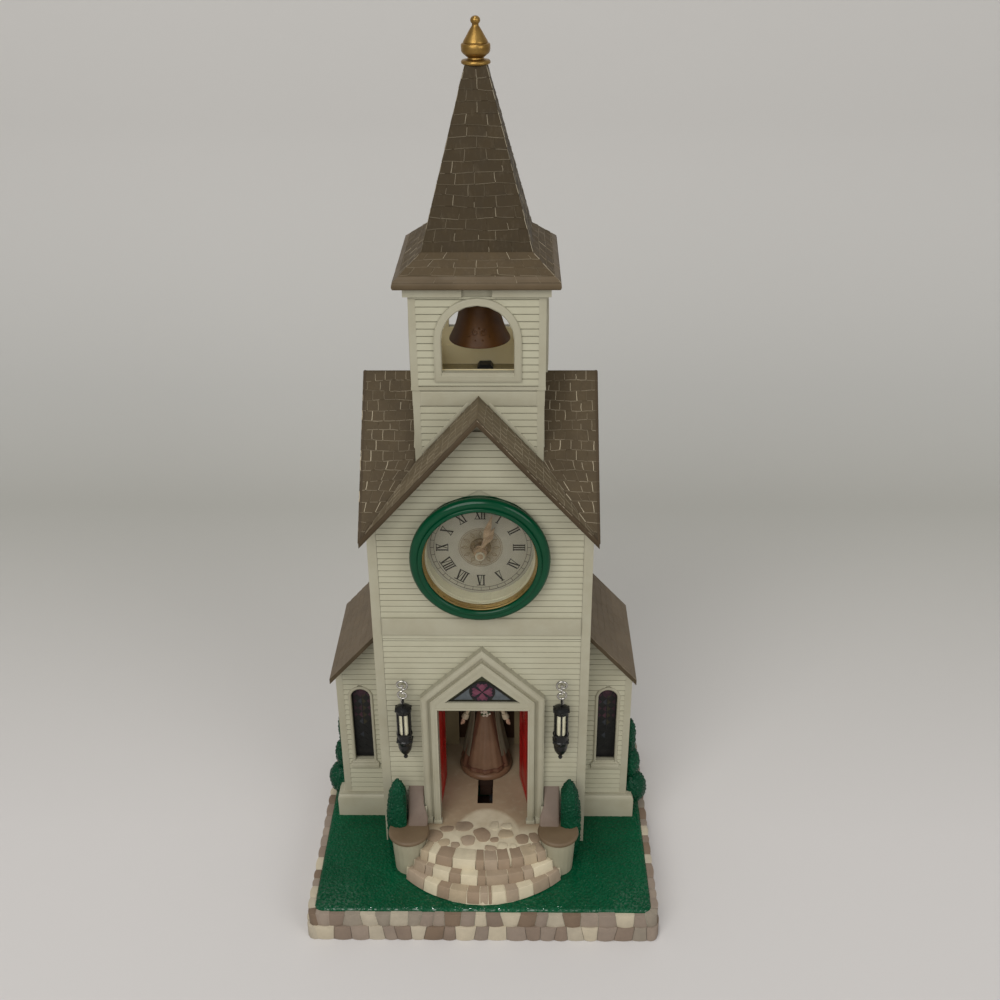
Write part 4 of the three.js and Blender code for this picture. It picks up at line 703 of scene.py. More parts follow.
def add_shingle(shape, place, lows, highs, left, right, layer, paint, lip):
    """left and right are (x at the low edge, x at the high edge); lows are the low edge's two heights."""
    colour = tone(*ROOF_TONES[paint])
    worn = 0.96 + 0.08 * chance.random()
    lift = lip * (0.75 + 0.5 * chance.random())
    verts = bmesh.ops.create_cube(shape, size=2)["verts"]
    for corner in verts:
        x, y, z = corner.co
        right_side, lower = x > 0, z < 0
        along = (right if right_side else left)[0 if lower else 1]
        up = (lows if lower else highs)[1 if right_side else 0]
        out = -0.2 if y > 0 else (lift if lower else lift * 0.45)
        corner.co = place @ Vector((along, -out, up))
    made = {face for corner in verts for face in corner.link_faces}
    colour_loops(made, layer, [part * worn for part in colour[:3]] + [1])
    if left[0] != left[1] or lows[0] > 0.5:
        brushed.append((place, (left[0], lows[0]), (left[1], highs[0] - 0.3), lift, lift * 0.45, colour,
                        chance.random() ** 1.1 * (0.45 if paint == "gable" else 1.0)))
    if lows[0] > 0.5:
        brushed.append((place, (left[0], lows[0]), (right[0], lows[1]), lift, lift, colour,
                        0.1 + 0.3 * chance.random()))


def lay_shingles(shape, place, layer, length, courses, left, right, width, paint, wave=0.42, lip=SHINGLE_LIP):
    """Courses up a roof plane of that length, between left(w) and right(w)."""
    tall = length / courses
    for course in range(courses):
        low, high = course * tall, (course + 1) * tall
        start, end = left(low), right(low)
        top_start, top_end = left(high), right(high)
        span = end - start
        if span < 1.2:
            continue
        count = max(1, round(span / width))
        shares = [0.0]
        offset = 0.5 if course % 2 else 0.0
        for k in range(1, count + (1 if offset else 0)):
            shares.append((k - offset + 0.22 * (chance.random() - 0.5)) / count)
        shares.append(1.0)
        phase = chance.random() * 6.28
        bend = lambda x: low + (wave * sin(x / 5.2 + phase) if course else 0.0)
        for a, b in zip(shares, shares[1:]):
            lean = 0.3 * (chance.random() - 0.5)
            foot = start + a * span + 0.02, start + b * span - 0.02
            head = (top_start + a * (top_end - top_start) + (lean if a else 0),
                    top_start + b * (top_end - top_start) + (lean if b < 1 else 0))
            if foot[1] - foot[0] < 0.35:
                continue
            lows = bend(foot[0]), bend(foot[1])
            add_shingle(shape, place, lows, (high + 0.25, high + 0.25), (foot[0], head[0]),
                        (foot[1], head[1]), layer, paint, lip)


print("roof paints:", list(ROOF_TONES))

# %% [markdown]
# The dry brush catches only raised edges, and not all of them alike. So its ridges differ in length and
# strength, and they are laid after the edges of the shingles have been softened.


# %% Soft edges and dry brush
def soften_shingles(shape):
    edges = [edge for edge in shape.edges if edge.calc_length() > 0.4]
    bmesh.ops.bevel(shape, geom=edges, offset=0.09, segments=1, affect="EDGES", profile=0.5, material=-1,
                    clamp_overlap=True)


def dry_brush(shape, layer, strength=1.0, width=1.0):
    """Lays a low pale ridge along the edges noted in brushed; some stay faint and some are broken off."""
    for place, start, end, out_start, out_end, dull, share in brushed:
        a, b = Vector(start), Vector(end)
        stop = 1.0 if chance.random() < 0.6 else 0.45 + 0.5 * chance.random()
        side = (b - a).normalized()
        side = Vector((-side.y, side.x)) * (0.09 + 0.09 * share) * width
        rows = []
        for k in (0.04, 0.5, 1.0):
            spot = a.lerp(b, k * stop) + side * 1.6 * (chance.random() - 0.5)
            out = out_start + (out_end - out_start) * k * stop + 0.02
            rows.append([shape.verts.new(place
                                         @ Vector((spot.x + side.x * u, -(out + lift), spot.y + side.y * u)))
                         for u, lift in ((-1, -0.12), (0, 0.07), (1, -0.12))])
        mix = min(1.0, (0.1 + 0.8 * share) * strength)
        colour = [low + (high - low) * mix for low, high in zip(dull, PALE_BRUSH)]
        colour_loops(join_rows(shape, rows), layer, colour)
    brushed.clear()


print("dry brush ready")

# %% [markdown]
# The spire has four steep faces on a flatter skirt. The main roof is two gable roofs that cross, so
# each of its four sides has two three-cornered planes that run into valleys beside the tower.

# %% Shingles of the spire
spire, layer = start_shape()
for quarter in range(4):
    place, length = roof_plane(quarter, 22.3, 319.4, 18.1, 68.1)
    narrow = lambda w, length=length: 22.3 - 18.1 * w / length + 0.12
    lay_shingles(spire, place, layer, length, 16, lambda w: -narrow(w), narrow, 8.3, "spire", wave=0.5)
    place, skirt = roof_plane(quarter, 33.5, 310.1, 11.2, 9.3)
    flare = lambda w, skirt=skirt: 33.5 - 11.2 * w / skirt + 0.1
    lay_shingles(spire, place, layer, skirt, 4, lambda w: -flare(w), flare, 8.8, "flare", wave=0.3)
soften_shingles(spire)
dry_brush(spire, layer, 0.9, 1.15)
finish_piece("spire_shingles", spire, SHINGLE)
print("spire:", triangles_made["spire_shingles"], "triangles")

# %% [markdown]
# A valley is only a sloping limit for the courses, so each plane is filled on its own. The planes that
# face left and right are paler and flatter than the ones that face the front and the back.

# %% Shingles of the main roof and the wing roofs
main, layer = start_shape()
for quarter in range(4):
    along, out = (51.4, 52.4) if quarter % 2 == 0 else (52.4, 51.4)
    place, length = roof_plane(quarter, out, 202.0, out, 57.3)
    valley = lambda w, along=along, length=length: max(27.95, along * (1 - w / length) + 0.15)
    edge = lambda w, along=along: along + 0.05
    paint, lip = ("main", SHINGLE_LIP) if quarter % 2 == 0 else ("gable", 0.1)
    lay_shingles(main, place, layer, length, 17, valley, edge, 4.3, paint, lip=lip)
    lay_shingles(main, place, layer, length, 17, lambda w: -edge(w), lambda w: -valley(w), 4.3, paint,
                 lip=lip)
soften_shingles(main)
dry_brush(main, layer, 1.1, 1.5)
finish_piece("main_roof_shingles", main, SHINGLE)

wing_tiles, layer = start_shape()
for side in (-1, 1):
    place, length = roof_plane(side, 73.2, 113.9, 23.4, 25.93)
    front, back = (-31.3, 33.2) if side > 0 else (-33.2, 31.3)
    lay_shingles(wing_tiles, place, layer, length, 8, level(front), level(back), 7.2, "wing", lip=0.09)
soften_shingles(wing_tiles)
dry_brush(wing_tiles, layer, 0.15)
finish_piece("wing_roof_shingles", wing_tiles, SHINGLE)
print("shingles:", {name: triangles_made[name] for name in triangles_made if "shingle" in name})

# %% [markdown]
# ## The stone base
# The edge of the base is moulded as two rows of rounded field stones, the lower row prouder and taller.
# Each stone is a cube whose corners lean a little, so that neighbours share a slanting joint, and whose
# edges are bevelled round. `rim_point` walks round the rounded rectangle of the base, and a stone is
# laid wherever the walk stops. A paler core behind them shows as mortar and as the ledge at the lawn.

# %% Stone maker
STONE_TONES = {"cream": (182, 171, 149), "pale": (171, 161, 142), "brown": (127, 111, 97),
               "taupe": (137, 123, 110), "pink": (144, 130, 116), "grey": (138, 128, 114),
               "tan": (148, 134, 113), "umber": (116, 98, 81)}


def paint_faces(faces, layer, name):
    worn = 1 + 0.05 * (2 * chance.random() - 1)
    colour_loops(faces, layer, [part * worn for part in tone(*STONE_TONES[name])[:3]] + [1])


def rim_point(walk, half_x, half_y, radius):
    """Point and outward direction at a distance along a rounded rectangle, from its front left."""
    sides = (2 * (half_x - radius), 2 * (half_y - radius)) * 2
    corner = radius * pi / 2
    for index, side in enumerate(sides):
        out = Matrix.Rotation(radians(90 * index), 2)
        reach = (half_y if index % 2 == 0 else half_x)
        half = side / 2
        if walk <= side:
            return out @ Vector((-half + walk, -reach)), out @ Vector((0, -1))
        walk -= side
        if walk <= corner:
            turn = walk / radius
            direction = out @ Vector((sin(turn), -cos(turn)))
            return out @ Vector((half, -reach + radius)) + radius * direction, direction
        walk -= corner
    return rim_point(walk, half_x, half_y, radius)


def bent_box(shape, cuts, bend):
    """A box of cuts + 1 cells along x; bend gives the place of each corner (x, y, z from -1 to 1)."""
    ring = ((-1, -1), (1, -1), (1, 1), (-1, 1))
    rows = [[shape.verts.new(bend(2 * k / (cuts + 1) - 1, y, z)) for y, z in ring] for k in range(cuts + 2)]
    return join_rows(shape, rows)


def add_rim_stone(shape, layer, walls, low, high, start, end, name):
    """A stone between two joints; start and end are (walk at its foot, walk at its head)."""
    belly = 0.45 + 0.35 * chance.random()

    def bend(x, y, z):
        level = 1 if z > 0 else 0
        walk = start[level] + (x + 1) / 2 * (end[level] - start[level])
        spot, out = rim_point(walk, *walls)
        spot = spot + (belly * (1 - x * x) if y < 0 else -4.4) * out
        return spot.x, spot.y, high if z > 0 else low

    paint_faces(bent_box(shape, 3, bend), layer, name)


def round_edges(shape, offset, segments, sharp=0.5):
    """Rounds every edge whose faces meet at more than sharp radians."""
    edges = [edge for edge in shape.edges if edge.is_manifold and edge.calc_face_angle(0) > sharp]
    bmesh.ops.bevel(shape, geom=edges, offset=offset, segments=segments, affect="EDGES", profile=0.5,
                    material=-1, clamp_overlap=True)


print("stone paints:", list(STONE_TONES))

# %% [markdown]
# The joints of a row are drawn by chance between three quarters and five quarters of a stone's usual
# width, and no stone has the paint of the one before it.

# %% Two rows of stones
stones, layer = start_shape()
ROWS = ((0.0, 8.6, 0.0, 7.4, ("brown", "cream", "taupe", "umber", "cream", "taupe", "brown", "pale", "grey")),
        (8.5, 16.1, -0.75, 7.0, ("taupe", "grey", "cream", "brown", "pink", "pale", "taupe", "umber",
                                 "taupe")))
around = 2 * (168.6 - 8) + 2 * (142 - 8) + 2 * pi * 4
for low, high, proud, width, names in ROWS:
    joints = [0.0]
    while joints[-1] < around - 1.3 * width:
        joints.append(joints[-1] + width * (0.72 + 0.56 * chance.random()))
    leans = [0.9 * (2 * chance.random() - 1) for _ in joints]
    last = None
    for index, (joint, lean) in enumerate(zip(joints, leans)):
        after = joints[index + 1] if index + 1 < len(joints) else around
        after_lean = leans[(index + 1) % len(joints)]
        name = chance.choice([choice for choice in names if choice != last])
        last = name
        start = (joint - lean + 0.1, joint + lean + 0.1)
        end = (after - after_lean - 0.1, after + after_lean - 0.1)
        rise = 0.35 * (chance.random() - 0.5)
        walls = (84.3 + proud, 70.8 + proud, 4.0)
        add_rim_stone(stones, layer, walls, low + 0.1, high + rise, start, end, name)
round_edges(stones, 1.8, 4, sharp=0.8)
finish_piece("base_stones", stones, STONE, place=BASE, crease=80)
print("base stones:", triangles_made["base_stones"], "triangles")

# %% [markdown]
# The core is a hollow frame: four loops of points round the base, joined in turn and back to the first.

# %% Mortar core and ledge
LEDGE = moulded("ledge_paint", tone(176, 177, 158), tone(162, 162, 144), patch=60, grain=900, bump=0.25,
                rough=(0.6, 0.75))


def rim_loop(shape, walls, z, steps=180):
    """Points all the way round the base at one height."""
    half_x, half_y, radius = walls
    length = 4 * (half_x - radius) + 4 * (half_y - radius) + 2 * pi * radius
    return [shape.verts.new((*rim_point(k * length / steps, *walls)[0], z)) for k in range(steps)]


core = bmesh.new()
OUTER_WALLS, INNER_WALLS = (83.3, 69.8, 4.0), (78.5, 65.0, 2.0)
loops = [rim_loop(core, OUTER_WALLS, 15.9), rim_loop(core, OUTER_WALLS, 0.3),
         rim_loop(core, INNER_WALLS, 0.3), rim_loop(core, INNER_WALLS, 15.9)]
for near, far in zip(loops, loops[1:] + loops[:1]):
    for k in range(len(near)):
        core.faces.new((near[k - 1], near[k], far[k], far[k - 1]))
bmesh.ops.recalc_face_normals(core, faces=core.faces)
finish_piece("base_mortar", core, LEDGE, place=BASE, stands_for=("base_plinth",))
print("mortar:", triangles_made["base_mortar"], "triangles")

# %% [markdown]
# ## The steps
# The three steps keep their CAD shape as the cream ground. On every nose lies a row of painted blocks
# that wrap from the tread down the riser, and the landing is set with rounded cobbles of different
# sizes. The blocks are cubes bent round the step's own arc; the angles of their joints, in degrees from
# straight ahead, were read off the photograph. The paint here is warmer and lighter than on the base.

# %% Blocks on the step noses
STONE_TONES.update({"tread": (192, 181, 155), "brown": (142, 123, 102), "pink": (154, 137, 117),
                    "taupe": (150, 133, 112), "tan": (162, 146, 121)})
STEP_ARCS = ((27.3, 51.3, 17.6, 23.5), (14.2, 58.4, 23.3, 28.4), (-0.5, 67.9, 28.2, 33.2))
STEP_BLOCKS = (
    ((-46, "pink"), (-33.5, "tread"), (-25, "brown"), (-18, "tan"), (-8.5, "brown"), (-1.5, "pink"),
     (3, "brown"), (5, "tread"), (12.5, "pink"), (19.5, "tread"), (28, "taupe"), (38, "pink"), (46, "")),
    ((-35, "taupe"), (-28.5, "pink"), (-24.5, "tread"), (-16, "brown"), (-10.5, "tread"), (-2.5, "brown"),
     (1.5, "taupe"), (12, "brown"), (19.5, "pink"), (24.5, "tread"), (35, "")),
    ((-26.5, "tan"), (-23, "tread"), (-19.5, "brown"), (-12.5, "tread"), (-3, "brown"), (0.5, "pink"),
     (6, "brown"), (11, "tread"), (11.6, "brown"), (16.7, "tan"), (22.5, "taupe"), (26.5, "")))


def add_nose_block(shape, layer, arc, start, end, depth, name):
    """A block on a step's nose, from its tread down to the tread below."""
    centre, radius, low, high = arc
    reach = 0.16 + 0.14 * chance.random()
    slant = 0.4 * (chance.random() - 0.5)

    def bend(x, y, z):
        turn = radians((start + end) / 2 + x * (end - start) / 2 + (slant if y > 0 else 0))
        out = radius - depth if y > 0 else radius + reach + (0 if z > 0 else 1.5)
        return out * sin(turn), -centre - out * cos(turn), high + reach if z > 0 else low

    paint_faces(bent_box(shape, 3, bend), layer, name)


blocks, layer = start_shape()
for arc, row, depth in zip(STEP_ARCS, STEP_BLOCKS, (7.4, 6.4, 6.6)):
    for (start, name), (end, _) in zip(row, row[1:]):
        if end - start > 1:
            gap = math.degrees(0.12 / arc[1])
            add_nose_block(blocks, layer, arc, start + gap, end - gap, depth + 0.8 * chance.random(), name)
round_edges(blocks, 0.85, 3)
finish_piece("step_blocks", blocks, STONE, crease=80)
print("step blocks:", triangles_made["step_blocks"], "triangles")

# %% [markdown]
# A cobble is a low disc whose outline is pulled toward a rounded square and made uneven, then raised
# from the landing and softened at its edge. Their places and sizes follow the photograph.

# %% Cobbles on the landing
# Each cobble: x, y, width, depth, turn in degrees, paint.
COBBLES = ((-10, -44.5, 8.6, 6.6, 4, "taupe"), (-7.7, -54, 6.8, 6.8, 8, "pink"),
           (-0.8, -50.2, 7.4, 9.6, 28, "brown"), (5.3, -53.6, 4.2, 3.2, 10, "brown"),
           (-13.9, -57.1, 4.4, 3.8, 0, "taupe"), (-19.4, -55.6, 5.8, 4.8, 20, "tan"),
           (-24.4, -51, 7.6, 8, -20, "brown"), (-18.4, -46.2, 6.8, 3.8, 5, "brown"),
           (10.8, -49.6, 7.4, 5.6, 0, "tan"), (19, -53, 6.2, 6.6, 15, "brown"),
           (25, -52, 4.8, 7, 24, "brown"), (3.5, -59.2, 6, 3.4, -12, "taupe"),
           (9.4, -57.6, 4.8, 4.6, 0, "tread"), (5.2, -44, 4.4, 6, 0, "tread"),
           (11.4, -44.2, 5.4, 4, 0, "tread"), (14.6, -57.8, 3.2, 3, 0, "tread"),
           (24, -58.8, 4, 3.2, 30, "tan"))


LANDING, COBBLE_RISE, BURIED = 33.2, 0.42, 0.3


def add_cobble(shape, layer, x, y, width, depth, turn, name):
    made = bmesh.ops.create_circle(shape, cap_ends=True, radius=1, segments=22)["verts"]
    seed = chance.random() * 9
    for rim_vert in made:
        angle = math.atan2(rim_vert.co.y, rim_vert.co.x)
        soft = (abs(cos(angle)) ** 2.7 + abs(sin(angle)) ** 2.7) ** (-1 / 2.7)
        soft *= 1 + 0.05 * sin(3 * angle + seed) + 0.04 * sin(5 * angle + 2 * seed)
        rim_vert.co = Vector((soft * cos(angle) * width / 2, soft * sin(angle) * depth / 2, 0))
    face = made[0].link_faces[0]
    paint_faces([face], layer, name)
    raised = bmesh.ops.extrude_face_region(shape, geom=[face])["geom"]
    lifted = [v for v in raised if isinstance(v, bmesh.types.BMVert)]
    bmesh.ops.translate(shape, verts=lifted, vec=(0, 0, COBBLE_RISE + BURIED))
    place = Matrix.Translation((x, y, LANDING - BURIED)) @ Matrix.Rotation(radians(turn), 4, "Z")
    bmesh.ops.transform(shape, verts=made + lifted, matrix=place)


cobbles, layer = start_shape()
for cobble in COBBLES:
    add_cobble(cobbles, layer, *cobble)
bmesh.ops.recalc_face_normals(cobbles, faces=cobbles.faces)
round_edges(cobbles, 0.3, 2)
finish_piece("landing_cobbles", cobbles, STONE, crease=50)
print("cobbles:", triangles_made["landing_cobbles"], "triangles")

# %% [markdown]
# The floor between the doors is a smooth tan, and a paler apron spreads fanwise from the landing into
# the doorway. A round gradient, centred on the landing by a Mapping node, paints that apron.

# %% Floor paint
GROUND = start_finish("floor_paint", tone(172, 158, 132), roughness=0.6)
spread = add_node(GROUND, "ShaderNodeMapping", {"Vector": place_of(GROUND), "Location": (-0.09, 1.64, 0),
                                               "Scale": (55, 40, 0)})
wobble = noise(GROUND, 300, 2)
fan = add_node(GROUND, "ShaderNodeTexGradient", {"Vector": spread.outputs["Vector"]},
               gradient_type="SPHERICAL")
apron = ramp(GROUND, blend_colour(GROUND, 0.06, fan.outputs["Fac"], wobble), [(0.03, 0.0), (0.12, 1.0)])
axes = axes_of(GROUND)
outside = add_node(GROUND, "ShaderNodeMapRange", {"Value": axes["Y"], "From Min": -0.028,
                                                  "From Max": -0.034})
either = blend_colour(GROUND, 1.0, apron, outside.outputs["Result"], "LIGHTEN")
tan = mottled(GROUND, 45, tone(149, 130, 105), tone(162, 143, 118))
cream = mottled(GROUND, 140, tone(184, 172, 146), tone(202, 192, 167))
feed(GROUND, blend_colour(GROUND, either, tan, cream), "Base Color")
skin(GROUND, noise(GROUND, 1200, 3), 0.2)
dress(GROUND, "steps_and_floor")
print("floor painted")

# %% [markdown]
# ## The lawn
# The lawn is one soft-edged slab of green plastic with a pebbled, grass-like skin. A fine grid is
# pressed into the rounded outline, its rim is rolled down like a moulded edge, and a low noise lifts it
# unevenly. The smallest grain and its sparkle stay in the material.

# %% Lawn
def press_to_outline(x, y, half_x, half_y, radius):
    """Moves a grid point that lies in a square corner onto the rounded one; also its depth from the rim."""
    inner_x, inner_y = half_x - radius, half_y - radius
    over_x, over_y = max(0.0, abs(x) - inner_x), max(0.0, abs(y) - inner_y)
    if over_x and over_y:
        square, round_reach = max(over_x, over_y), math.hypot(over_x, over_y)
        share = square / round_reach
        x = math.copysign(inner_x + over_x * share, x)
        y = math.copysign(inner_y + over_y * share, y)
        return x, y, radius - square
    return x, y, min(half_x - abs(x), half_y - abs(y))


LAWN_X, LAWN_Y, LAWN_ROUND = 80.8, 68.4, 4.4
turf = bmesh.new()
bmesh.ops.create_grid(turf, x_segments=200, y_segments=174, size=1)
rim_edges = [edge for edge in turf.edges if edge.is_boundary]
for point in turf.verts:
    x, y, depth = press_to_outline(point.co.x * LAWN_X, point.co.y * LAWN_Y, LAWN_X, LAWN_Y, LAWN_ROUND)
    roll = 1.3 - sqrt(max(0.0, 1.3 ** 2 - max(0.0, 1.3 - depth) ** 2))
    grass = (0.2 * wave_noise.noise(Vector((x, y, 0)) * 0.8)
             + 0.12 * wave_noise.noise(Vector((x, y, 7)) * 0.22))
    point.co = Vector((x, y, 17.3 - roll + (grass if depth > 0.5 else 0)))
skirt = bmesh.ops.extrude_edge_only(turf, edges=rim_edges)["geom"]
bmesh.ops.translate(turf, verts=[v for v in skirt if isinstance(v, bmesh.types.BMVert)], vec=(0, 0, -0.9))
bmesh.ops.recalc_face_normals(turf, faces=turf.faces)
finish_piece("turf", turf, LAWN, place=BASE, stands_for=("lawn",), crease=60)
print("turf:", triangles_made["turf"], "triangles")

# %% [markdown]
# ## Bushes
# The bushes are moulded cones and balls covered with leaf-like bumps a little over 1 mm across. A bump
# map alone would leave their outline smooth, so the skin itself is pushed in and out: the distance to
# the nearest point of a cell noise gives every leaf its own little dome.

# %% Leafy skin
def leafy_skin(shape, centre, size, depth):
    """Pushes each point along its normal by a cell noise whose cells are 1/size mm wide."""
    shape.normal_update()
    for point in shape.verts:
        distances, _ = wave_noise.voronoi((point.co - centre) * size)
        tall = (0.5 - distances[0]) * depth * 2
        point.co += point.normal * tall


def slice_away(shape, point, direction):
    """Cuts off what lies beyond a plane and closes the cut."""
    geometry = shape.verts[:] + shape.edges[:] + shape.faces[:]
    cut = bmesh.ops.bisect_plane(shape, geom=geometry, dist=1e-5, plane_co=point, plane_no=direction,
                                 clear_outer=True)["geom_cut"]
    bmesh.ops.holes_fill(shape, edges=[e for e in cut if isinstance(e, bmesh.types.BMEdge)], sides=0)


def spin_round(shape, line, edges, steps):
    """Spins a line of points one full turn round the z axis and closes the skin."""
    bmesh.ops.spin(shape, geom=line + edges, cent=(0, 0, 0), axis=(0, 0, 1), angle=2 * pi, steps=steps,
                   use_merge=True)
    bmesh.ops.remove_doubles(shape, verts=shape.verts, dist=1e-4)
    bmesh.ops.recalc_face_normals(shape, faces=shape.faces)


def spin_profile(shape, profile, centre, steps):
    """Turns a profile of (radius, height) into a closed body round an upright axis through centre."""
    line = [shape.verts.new((r, 0, h)) for r, h in profile]
    spin_round(shape, line, [shape.edges.new(pair) for pair in zip(line, line[1:])], steps)
    shape.transform(Matrix.Translation(centre))


def smooth_profile(points, rows):
    """Samples an outline evenly, rounding its corners a little, so that a spin has even rows."""
    lengths = [math.dist(a, b) for a, b in zip(points, points[1:])]
    total, result = sum(lengths), []
    for k in range(rows + 1):
        walk = total * k / rows
        for (a, b), length in zip(zip(points, points[1:]), lengths):
            if walk <= length + 1e-9:
                share = walk / length
                result.append((a[0] + (b[0] - a[0]) * share, a[1] + (b[1] - a[1]) * share))
                break
            walk -= length
    return result


print("leaf and spin helpers ready")

# %% [markdown]
# The cypresses in front are spun from one outline, and the shrubs at the sides are three stretched balls.
# Both are sliced flat where a wall stands beside them.

# %% Front bushes and side shrubs
BUSH_OUTLINE = ((0, 17.4), (3.7, 17.4), (5.2, 21), (6.0, 28), (6.1, 42), (5.5, 51), (4.1, 58.5), (2.1, 63.8),
                (0, 66.4))
SHRUB_BALLS = (((76.8, 29.6), (7.2, 7.2, 9.3)), ((75.3, 45.9), (4.4, 5.0, 9.3)),
               ((74, 61.6), (3.1, 3.7, 12.0)))
for side, word, inward, shrub_y in ((-1, "left", 1.0, -4.0), (1, "right", 0.0, -10.3)):
    bush = bmesh.new()
    spin_profile(bush, smooth_profile(BUSH_OUTLINE, 118), (side * 41.7, -46.8, 0), 90)
    leafy_skin(bush, Vector((side * 41.7, -46.8, 40)), 0.8, 0.62)
    slice_away(bush, (side * 37.8, 0, 0), (-side, 0, 0))
    finish_piece(f"{word}_bush_leaves", bush, LEAF, stands_for=(f"{word}_front_bush",),
                 crease=180)
    shrub = bmesh.new()
    for (x, z), (rx, ry, rz) in SHRUB_BALLS:
        ball = bmesh.ops.create_icosphere(shrub, subdivisions=5, radius=1)["verts"]
        squash = Matrix.Translation((side * (x - inward), shrub_y, z)) @ Matrix.Diagonal((rx, ry, rz, 1))
        bmesh.ops.transform(shrub, verts=ball, matrix=squash)
    leafy_skin(shrub, Vector((side * 76, shrub_y, 40)), 0.62, 0.6)
    slice_away(shrub, (side * 72.9, 0, 0), (-side, 0, 0))
    slice_away(shrub, (0, 0, 17.4), (0, 0, -1))
    finish_piece(f"{word}_shrub_leaves", shrub, LEAF, stands_for=(f"{word}_side_shrub",),
                 crease=180)
print("bushes:", triangles_made["left_bush_leaves"], "and", triangles_made["left_shrub_leaves"],
      "triangles each")

# %% [markdown]
# ## Mouldings
# The door surround, the windows and the belfry arches are framed by rounded mouldings. A moulding is one
# cross-section carried along a path on the wall. At every corner of the path the section is mitred, as
# a joiner would cut it: it is pushed along the line that halves the corner.

# %% Carry a section along a path
def carry_section(shape, place, path, section, closed=False):
    """Section points are (inward, out) from the path, whose points are (x, z) and run clockwise."""
    points = [Vector(point) for point in path]
    count = len(points)
    rows = []
    for k, point in enumerate(points):
        before = (point - points[k - 1]).normalized() if closed or k else None
        after = (points[(k + 1) % count] - point).normalized() if closed or k < count - 1 else None
        before, after = before or after, after or before
        half = (before + after).normalized()
        inward = Vector((half.y, -half.x)) / max(0.3, half.dot(after))
        rows.append([shape.verts.new(place @ Vector((point.x + inward.x * u, -out, point.y + inward.y * u)))
                     for u, out in section])
    sides = len(section)
    spans = list(zip(rows, rows[1:])) + ([(rows[-1], rows[0])] if closed else [])
    faces = [shape.faces.new((near[k], near[(k + 1) % sides], far[(k + 1) % sides], far[k]))
             for near, far in spans for k in range(sides)]
    if not closed:
        faces += [shape.faces.new(rows[0][::-1]), shape.faces.new(rows[-1])]
    bmesh.ops.recalc_face_normals(shape, faces=faces)


def arch_path(middle, half, foot, spring, steps=20):
    """Up the left side, over the round head and down the right side."""
    head = [(middle - half * cos(pi * k / steps), spring + half * sin(pi * k / steps))
            for k in range(steps + 1)]
    return [(middle - half, foot)] + head + [(middle + half, foot)]


def rounded_section(width, foot, proud, radius=0.5, steps=4):
    """A bar's section with its two outer edges rounded."""
    radius = min(radius, width / 2, proud - foot)
    turns = [pi / 2 * k / steps for k in range(steps + 1)]
    near = [(radius - radius * cos(t), proud - radius + radius * sin(t)) for t in turns]
    return [(0, foot)] + near + [(width - u, out) for u, out in reversed(near)] + [(width, foot)]


print("moulding helpers ready")

# %% [markdown]
# ### The door surround
# Two bands run up the sides and meet in a point: a broad one outside, then a small cove, then a flat
# band with a soft bead along the doorway. A lintel closes the little stained-glass gable above the door.

# %% Door surround
def house_path(half, foot, shoulder, apex):
    return [(-half, foot), (-half, shoulder), (0, apex), (half, shoulder), (half, foot)]


front = facing(0, CASE_WALL)
mouldings = bmesh.new()
OUTER_BAND = [(0.15, 2.6), (0.15, 4.2), (0.5, 4.75), (1.1, 5.0), (2.3, 5.0), (2.9, 4.7), (3.3, 4.1),
              (3.6, 3.7), (4.2, 3.5), (4.7, 3.4), (4.7, 2.6)]
carry_section(mouldings, front, house_path(29.3, 33.4, 110.4, 138.1), OUTER_BAND)
INNER_BAND = [(0.1, 3.0), (0.1, 4.7), (0.35, 5.1), (0.8, 5.25), (1.5, 5.2), (2.2, 5.12), (2.85, 5.0),
              (2.85, 3.0)]
carry_section(mouldings, front, house_path(24.55, 33.4, 108.2, 131.2), INNER_BAND)
for side in (-1, 1):
    add_bar(mouldings, front, (side * 21.95, 33.4), (side * 21.95, 104.9), 0.9, 5.3, -3.0)
    add_box(mouldings, front, sorted((side * 20.9, side * 25.2)), (-5.9, -3.0), (33.3, 35.3))
    add_box(mouldings, front, sorted((side * 25.6, side * 29.9)), (-5.5, -2.0), (33.3, 36.9))
add_bar(mouldings, front, (-22.4, 104.75), (22.4, 104.75), 1.2, 5.35, -3.0)
round_edges(mouldings, 0.18, 2, sharp=0.9)
finish_piece("surround_mouldings", mouldings, TRIM, crease=40)
print("surround:", triangles_made["surround_mouldings"], "triangles")

# %% [markdown]
# ### The stained glass over the door
# Dark lead strips divide the small triangle into a round rose in the middle, two blue-grey wings and
# olive borders. The rose has a ring of pointed petals in plum and old pink, a pattern that many church
# windows share. Each pane of colour is a thin plate, and the lead lies on top of it.

# %% Stained glass
GLASS_TONES = {"plum": (86, 50, 64), "rose": (104, 60, 74), "blue": (82, 87, 90), "olive": (60, 62, 44),
               "lead": (38, 36, 32), "night": (34, 33, 36)}
STAINED = start_finish("stained_glass", tone(70, 56, 62), roughness=0.28, shine=0.15)
haze = ramp(STAINED, noise(STAINED, 420, 4, 0.6), [(0.3, 0.75), (0.7, 1.15)])
feed(STAINED, own_tone(STAINED, haze), "Base Color")
skin(STAINED, noise(STAINED, 700, 2), 0.3)


def add_plate(shape, layer, place, outline, back, proud, name):
    """A flat plate on a wall with the outline's points (x, z), from back to proud."""
    rims = [[shape.verts.new(place @ Vector((x, -out, z))) for x, z in outline] for out in (back, proud)]
    colour_loops(join_rows(shape, rims), layer, tone(*GLASS_TONES[name]))


def petal(centre, turn, near, far, half):
    along = Vector((sin(turn), cos(turn)))
    across = Vector((along.y, -along.x))
    middle = near + (far - near) * 0.55
    return [Vector(centre) + along * near, Vector(centre) + along * middle + across * half,
            Vector(centre) + along * far, Vector(centre) + along * middle - across * half]


